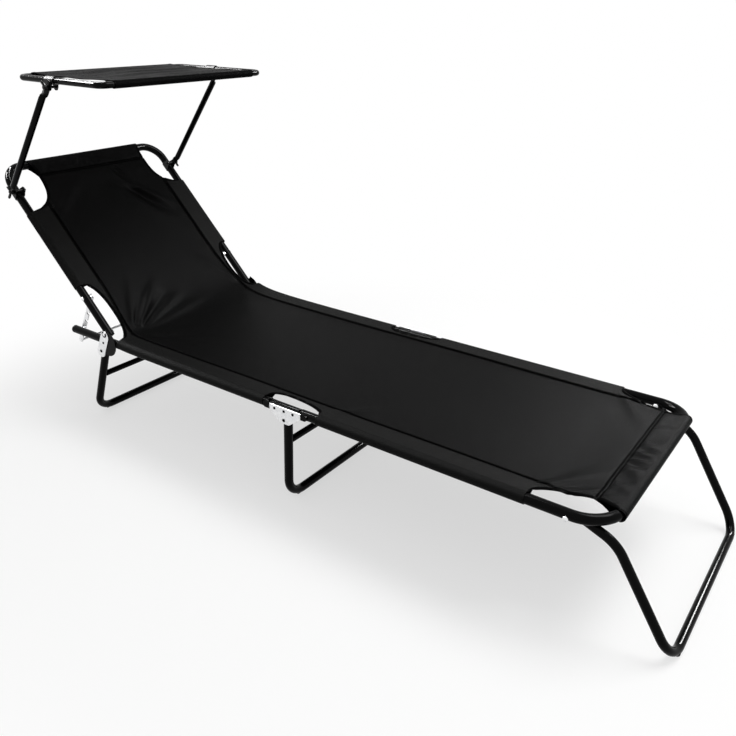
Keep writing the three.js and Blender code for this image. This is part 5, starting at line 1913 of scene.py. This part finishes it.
        finish = replace(SLING, hems=(self.head_bar + self.head_hem, self.foot_bar - self.foot_hem))
        return make_piece(name, solid, faces, finish, coordinates, sharp=60.0), float(lengths[-1])

    def binding(self, name: str, start: float, end: float, side: Side) -> bpy.types.Object:
        """The folded hem along a cut-out: a flat oval carried along the sheet's edge.

        Args:
            name: the piece's name.
            start: where it begins along the sheet.
            end: where it ends.
            side: the side it is on.

        Returns:
            The hem.
        """
        along = np.linspace(start, end, max(8, round((end - start) / 0.004)))
        across = side.value * (self.edge(along) - self.binding_inset)
        places = self.on_sheet(along, across, 0.0)
        ways = unit(np.gradient(places, axis=0))
        normal = unit(self.on_sheet(along, across, 0.001) - places)
        taper = np.clip(np.minimum(along - start, end - along) / self.taper_reach, 0.25, 1.0)
        half_width, half_depth = self.binding_half
        rings = carried(places - normal * FIT, ways, normal, half_width * taper, half_depth * taper, 14)
        return make_piece(name, *lofted(rings), BINDING, sharp=60.0)

    def stitches(self, name: str, lines: list[tuple[Array, Array]]) -> bpy.types.Object:
        """Rows of lock stitches: capsules of thread laid on the sheet along given lines.

        Args:
            name: the piece's name.
            lines: along and across of each stitch row, close enough together to measure it.

        Returns:
            The stitches as one piece.
        """
        pitch, rings, sides = self.stitch_pitch, 5, 6
        lay = np.linspace(-0.5, 0.5, rings)
        bulge = np.sqrt(np.clip(1.0 - (1.85 * lay) ** 4 * 0.09, 0.05, 1.0))
        angle = np.linspace(0.0, 2.0 * np.pi, sides, endpoint=False)
        points, faces = [], []
        cell = grid_faces(rings, sides, ring=True)
        for along, across in lines:
            length = run_length(along, across)
            centre = np.arange(pitch / 2.0, length[-1], pitch)
            spots = centre[:, None] + lay[None, :] * pitch * self.stitch_share
            t, y = np.interp(spots, length, along), np.interp(spots, length, across)
            base = self.on_sheet(t, y, 0.0)
            way = unit(base[:, -1] - base[:, 0])[:, None]
            normal = unit(self.on_sheet(t, y, 0.001) - base)
            side = np.cross(normal, way)
            arch = (0.0003 * np.cos(np.pi * lay))[None, :, None]
            size = (self.thread_radius * bulge)[:, None, None]
            spoke = np.cos(angle)[:, None] * side[:, :, None] + np.sin(angle)[:, None] * normal[:, :, None]
            ring = (base + normal * arch)[:, :, None] + size * spoke
            count, offset = len(centre), sum(len(p) for p in points)
            places = ring.reshape(-1, 3)
            starts = (np.arange(count) * rings * sides + offset)[:, None]
            points.append(places)
            faces.extend((cell[None] + starts[..., None]).reshape(-1, 4).tolist())
            first = np.arange(sides)[::-1]
            faces.extend((first[None] + starts).tolist())
            faces.extend((first[::-1][None] + (rings - 1) * sides + starts).tolist())
        return make_piece(name, np.concatenate(points), faces, THREAD)

    def seam_lines(self, start: float, end: float) -> list[tuple[Array, Array]]:
        """Stitch rows of one piece: two along each side seam, and two across each hem it has.

        Args:
            start: where the piece begins along the sheet.
            end: where it ends.

        Returns:
            Along and across of each row.
        """
        lines = []
        first, last = self.head_bar + self.stitch_end, self.foot_bar - self.stitch_end
        along = np.linspace(max(start, first), min(end, last), 400)
        for side in Side:
            for shift in (-self.seam_gap, self.seam_gap):
                seam = self.seam(along) + shift
                inside = seam < self.edge(along) - self.stitch_margin
                breaks = np.flatnonzero(np.diff(inside.astype(int)))
                for part in np.split(np.arange(len(along)), breaks + 1):
                    if inside[part[0]] and len(part) > 3:
                        lines.append((along[part], side.value * seam[part]))
        for bar, sign, hem in ((self.head_bar, 1.0, self.head_hem), (self.foot_bar, -1.0, self.foot_hem)):
            if start <= bar <= end:
                for shift in (-self.hem_gap, self.hem_gap):
                    place = bar + sign * (hem + shift)
                    half = float(self.edge(np.array([place]))[0]) - self.stitch_margin
                    across = np.linspace(-half, half, 60)
                    lines.append((np.full(60, place), across))
        return lines

    def build(self) -> None:
        """Makes the four pieces of the sheet with their stitches and bound edges."""
        link = [JOINTS[name]["pos_m"][0] - PIVOT_X for name in ("link_hinge", "foot_hinge")]
        first, last = self.from_seat(link[0] - self.fold_spare), self.from_seat(link[1] + self.fold_spare)
        middle = (first + last) / 2.0
        level = SEAT_LEVEL + self.radius

        def seat_place(along: float) -> tuple[float, float, float]:
            """The row-frame point on the flat part of the sheet."""
            return (along + float(self.corner[0]) + PIVOT_X, 0.0, level)

        on_crease = self.place(np.array(self.crease[0]), np.array(0.0), np.array(self.radius))
        crease_start, crease_end = tuple(on_crease + (PIVOT_X, 0, 0)), seat_place(self.crease[1])
        link_tubes = ["tube_of_link_right", "tube_of_link_left"]
        plan = [
            ("sling_of_back_and_seat", self.head_bar, first, ("backrest", "seat", crease_start, crease_end),
             ["back_sling", "seat_sling"], ["tube_of_backrest", "rail_of_seat_right", "rail_of_seat_left"]),
            ("sling_of_fold_rear", first, middle,
             ("seat", "link", seat_place(first), seat_place(middle)), [], link_tubes),
            ("sling_of_fold_front", middle, last,
             ("link", "foot_section", seat_place(middle), seat_place(last)), [], link_tubes),
            ("sling_of_foot", last, self.foot_bar, "foot_section", ["foot_sling"], ["tube_of_foot"]),
        ]
        for name, start, end, carrier, nodes, rests in plan:
            piece, length = self.sheet(name, start, end)
            extras = [self.stitches(name.replace("sling", "stitches"), self.seam_lines(start, end))]
            hem = name.replace("sling", "hem")
            for number, bite in enumerate(self.bites()):
                a = max(start, bite.start, self.head_bar + self.bar_gap)
                b = min(end, bite.end, self.foot_bar - self.bar_gap)
                if b - a > self.shortest_hem:
                    extras.extend(self.binding(f"{hem}_{number}_{side.tag}", a, b, side) for side in Side)
            for each in [piece, *extras]:
                if isinstance(carrier, str):
                    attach(each, carrier)
                else:
                    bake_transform(each)
            if nodes:
                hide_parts(*nodes)
            self.flat_area(start, end, length)

    def flat_area(self, start: float, end: float, length: float) -> float:
        """Flat area of a piece: the sheet between its edges, its sleeves, and its wraps round the bars.

        Args:
            start: where the piece begins along the sheet.
            end: where it ends.
            length: length of the cloth in it, with its wraps.

        Returns:
            Square metres.
        """
        along = np.linspace(start, end, 200)
        sleeve = np.zeros(200)
        for a, b in self.sleeves():
            sleeve += (along > a) & (along < b)
        width = 2.0 * self.edge(along) + sleeve * self.sleeves_width
        wraps = (length - (end - start)) * self.wrap_width
        return float(width.mean() * (end - start) + wraps)


@dataclass
class Studio:
    """Floor, light and camera. Angles are in degrees and the picture is 736 by 736."""

    camera_place: tuple[float, float, float] = (1.64379, -1.33563, 1.04611)
    azimuth: float = 36.1473
    elevation: float = 25.4304
    focal_pixels: float = 743.764
    picture_width: float = 736.0
    sensor: float = 36.0
    floor_half: float = 30.0

    def camera(self) -> None:
        """A camera that looks down along the azimuth, set from the fitted place and focal length."""
        data = bpy.data.cameras.new("camera")
        data.sensor_width = self.sensor
        data.lens = self.focal_pixels / self.picture_width * self.sensor
        data.clip_end = 200.0
        a, e = math.radians(self.azimuth), math.radians(self.elevation)
        forward = Vector((-math.sin(a) * math.cos(e), math.cos(a) * math.cos(e), -math.sin(e)))
        right = Vector((math.cos(a), math.sin(a), 0.0))
        up = right.cross(forward)
        turn = Matrix((right, up, -forward)).transposed().to_4x4()
        place = Vector(self.camera_place) + Vector((PIVOT_X, 0.0, 0.0))
        camera = bpy.data.objects.new("camera", data)
        camera.matrix_world = Matrix.Translation(place) @ turn
        bpy.context.scene.collection.objects.link(camera)
        bpy.context.scene.camera = camera

    def floor(self) -> None:
        """A pale floor that keeps the shadow and fades to white away from the lounger."""
        half = self.floor_half
        mesh = bpy.data.meshes.new("floor")
        corners = [(-half, -half, 0), (half, -half, 0), (half, half, 0), (-half, half, 0)]
        mesh.from_pydata(corners, [], [(0, 1, 2, 3)])
        floor = bpy.data.objects.new("floor", mesh)
        bpy.context.scene.collection.objects.link(floor)
        material = bpy.data.materials.new("white studio floor")
        material.use_nodes = True
        material.node_tree.nodes.clear()
        nodes = Nodes(material.node_tree)
        away = nodes.add("ShaderNodeVectorMath", {0: nodes.place()}, operation="LENGTH").outputs["Value"]
        share = nodes.maths("MULTIPLY", nodes.ramp(away, 0.7, 1.5, to_low=0.6, to_high=1.0), nodes.seen())
        cloth = nodes.add("ShaderNodeBsdfDiffuse", {"Color": (0.88, 0.88, 0.875, 1.0)})
        glow = nodes.add("ShaderNodeEmission", {"Color": (1.0, 1.0, 1.0, 1.0), "Strength": 1.0})
        both = nodes.add("ShaderNodeMixShader", {0: share, 1: cloth.outputs[0], 2: glow.outputs[0]})
        nodes.add("ShaderNodeOutputMaterial", {"Surface": both.outputs[0]})
        mesh.materials.append(material)

    def lamp(self, name: str, place: tuple[float, float, float], size: tuple[float, float], power: float,
             shine_only: bool = False) -> None:
        """An area lamp aimed at the middle of the lounger, or one that only shows as a highlight.

        Args:
            name: the lamp's name.
            place: where it hangs.
            size: its width and height.
            power: its power in watts.
            shine_only: whether it only shows as a highlight.
        """
        data = bpy.data.lights.new(name, "AREA")
        data.shape = "RECTANGLE"
        data.size, data.size_y = size
        data.energy = power
        lamp = bpy.data.objects.new(name, data)
        aim = Vector((0.0, 0.0, 0.3)) - Vector(place)
        lamp.rotation_mode = "QUATERNION"
        lamp.rotation_quaternion = aim.to_track_quat("-Z", "Y")
        lamp.location = place
        lamp.visible_diffuse = not shine_only
        bpy.context.scene.collection.objects.link(lamp)

    def world(self) -> None:
        """Soft light from all round; the camera and shiny surfaces see a white backdrop."""
        world = bpy.data.worlds.new("studio")
        world.use_nodes = True
        world.node_tree.nodes.clear()
        nodes = Nodes(world.node_tree)
        strength = nodes.ramp(nodes.seen(), 0.0, 1.0, to_low=0.55, to_high=1.0)
        back = nodes.add("ShaderNodeBackground", {"Color": (1.0, 1.0, 1.0, 1.0), "Strength": strength})
        nodes.add("ShaderNodeOutputWorld", {"Surface": back.outputs[0]})
        bpy.context.scene.world = world

    def build(self) -> None:
        """Camera, floor, lamps and world."""
        self.camera()
        self.floor()
        self.world()
        self.lamp("top", (1.1, 1.0, 3.2), (1.8, 1.4), power=84.0)
        self.lamp("back strip", (1.5, 2.6, 2.3), (1.8, 0.3), power=330.0, shine_only=True)
        self.lamp("near strip", (-2.6, -1.2, 2.4), (1.2, 0.25), power=220.0, shine_only=True)
        self.lamp("over strip", (-1.3, 0.0, 2.6), (0.1, 2.2), power=150.0, shine_only=True)
        bpy.context.scene.view_settings.view_transform = "Standard"


def main() -> None:
    logging.basicConfig(level=logging.INFO, format="%(name)s %(message)s")
    Studio().build()
    for part in (
        SeatFrame(),
        Backrest(),
        FoldLink(),
        StraightLeg("rear_leg", (-0.025, 0.2225), -0.1125),
        StraightLeg("mid_leg", (0.6365, 0.227), 0.626, brace_share=0.285),
        FootSection(),
        Canopy(),
        Sling(),
    ):
        LOG.info("building %s", type(part).__name__)
        part.build()
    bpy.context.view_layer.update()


if __name__ == "__main__":
    main()
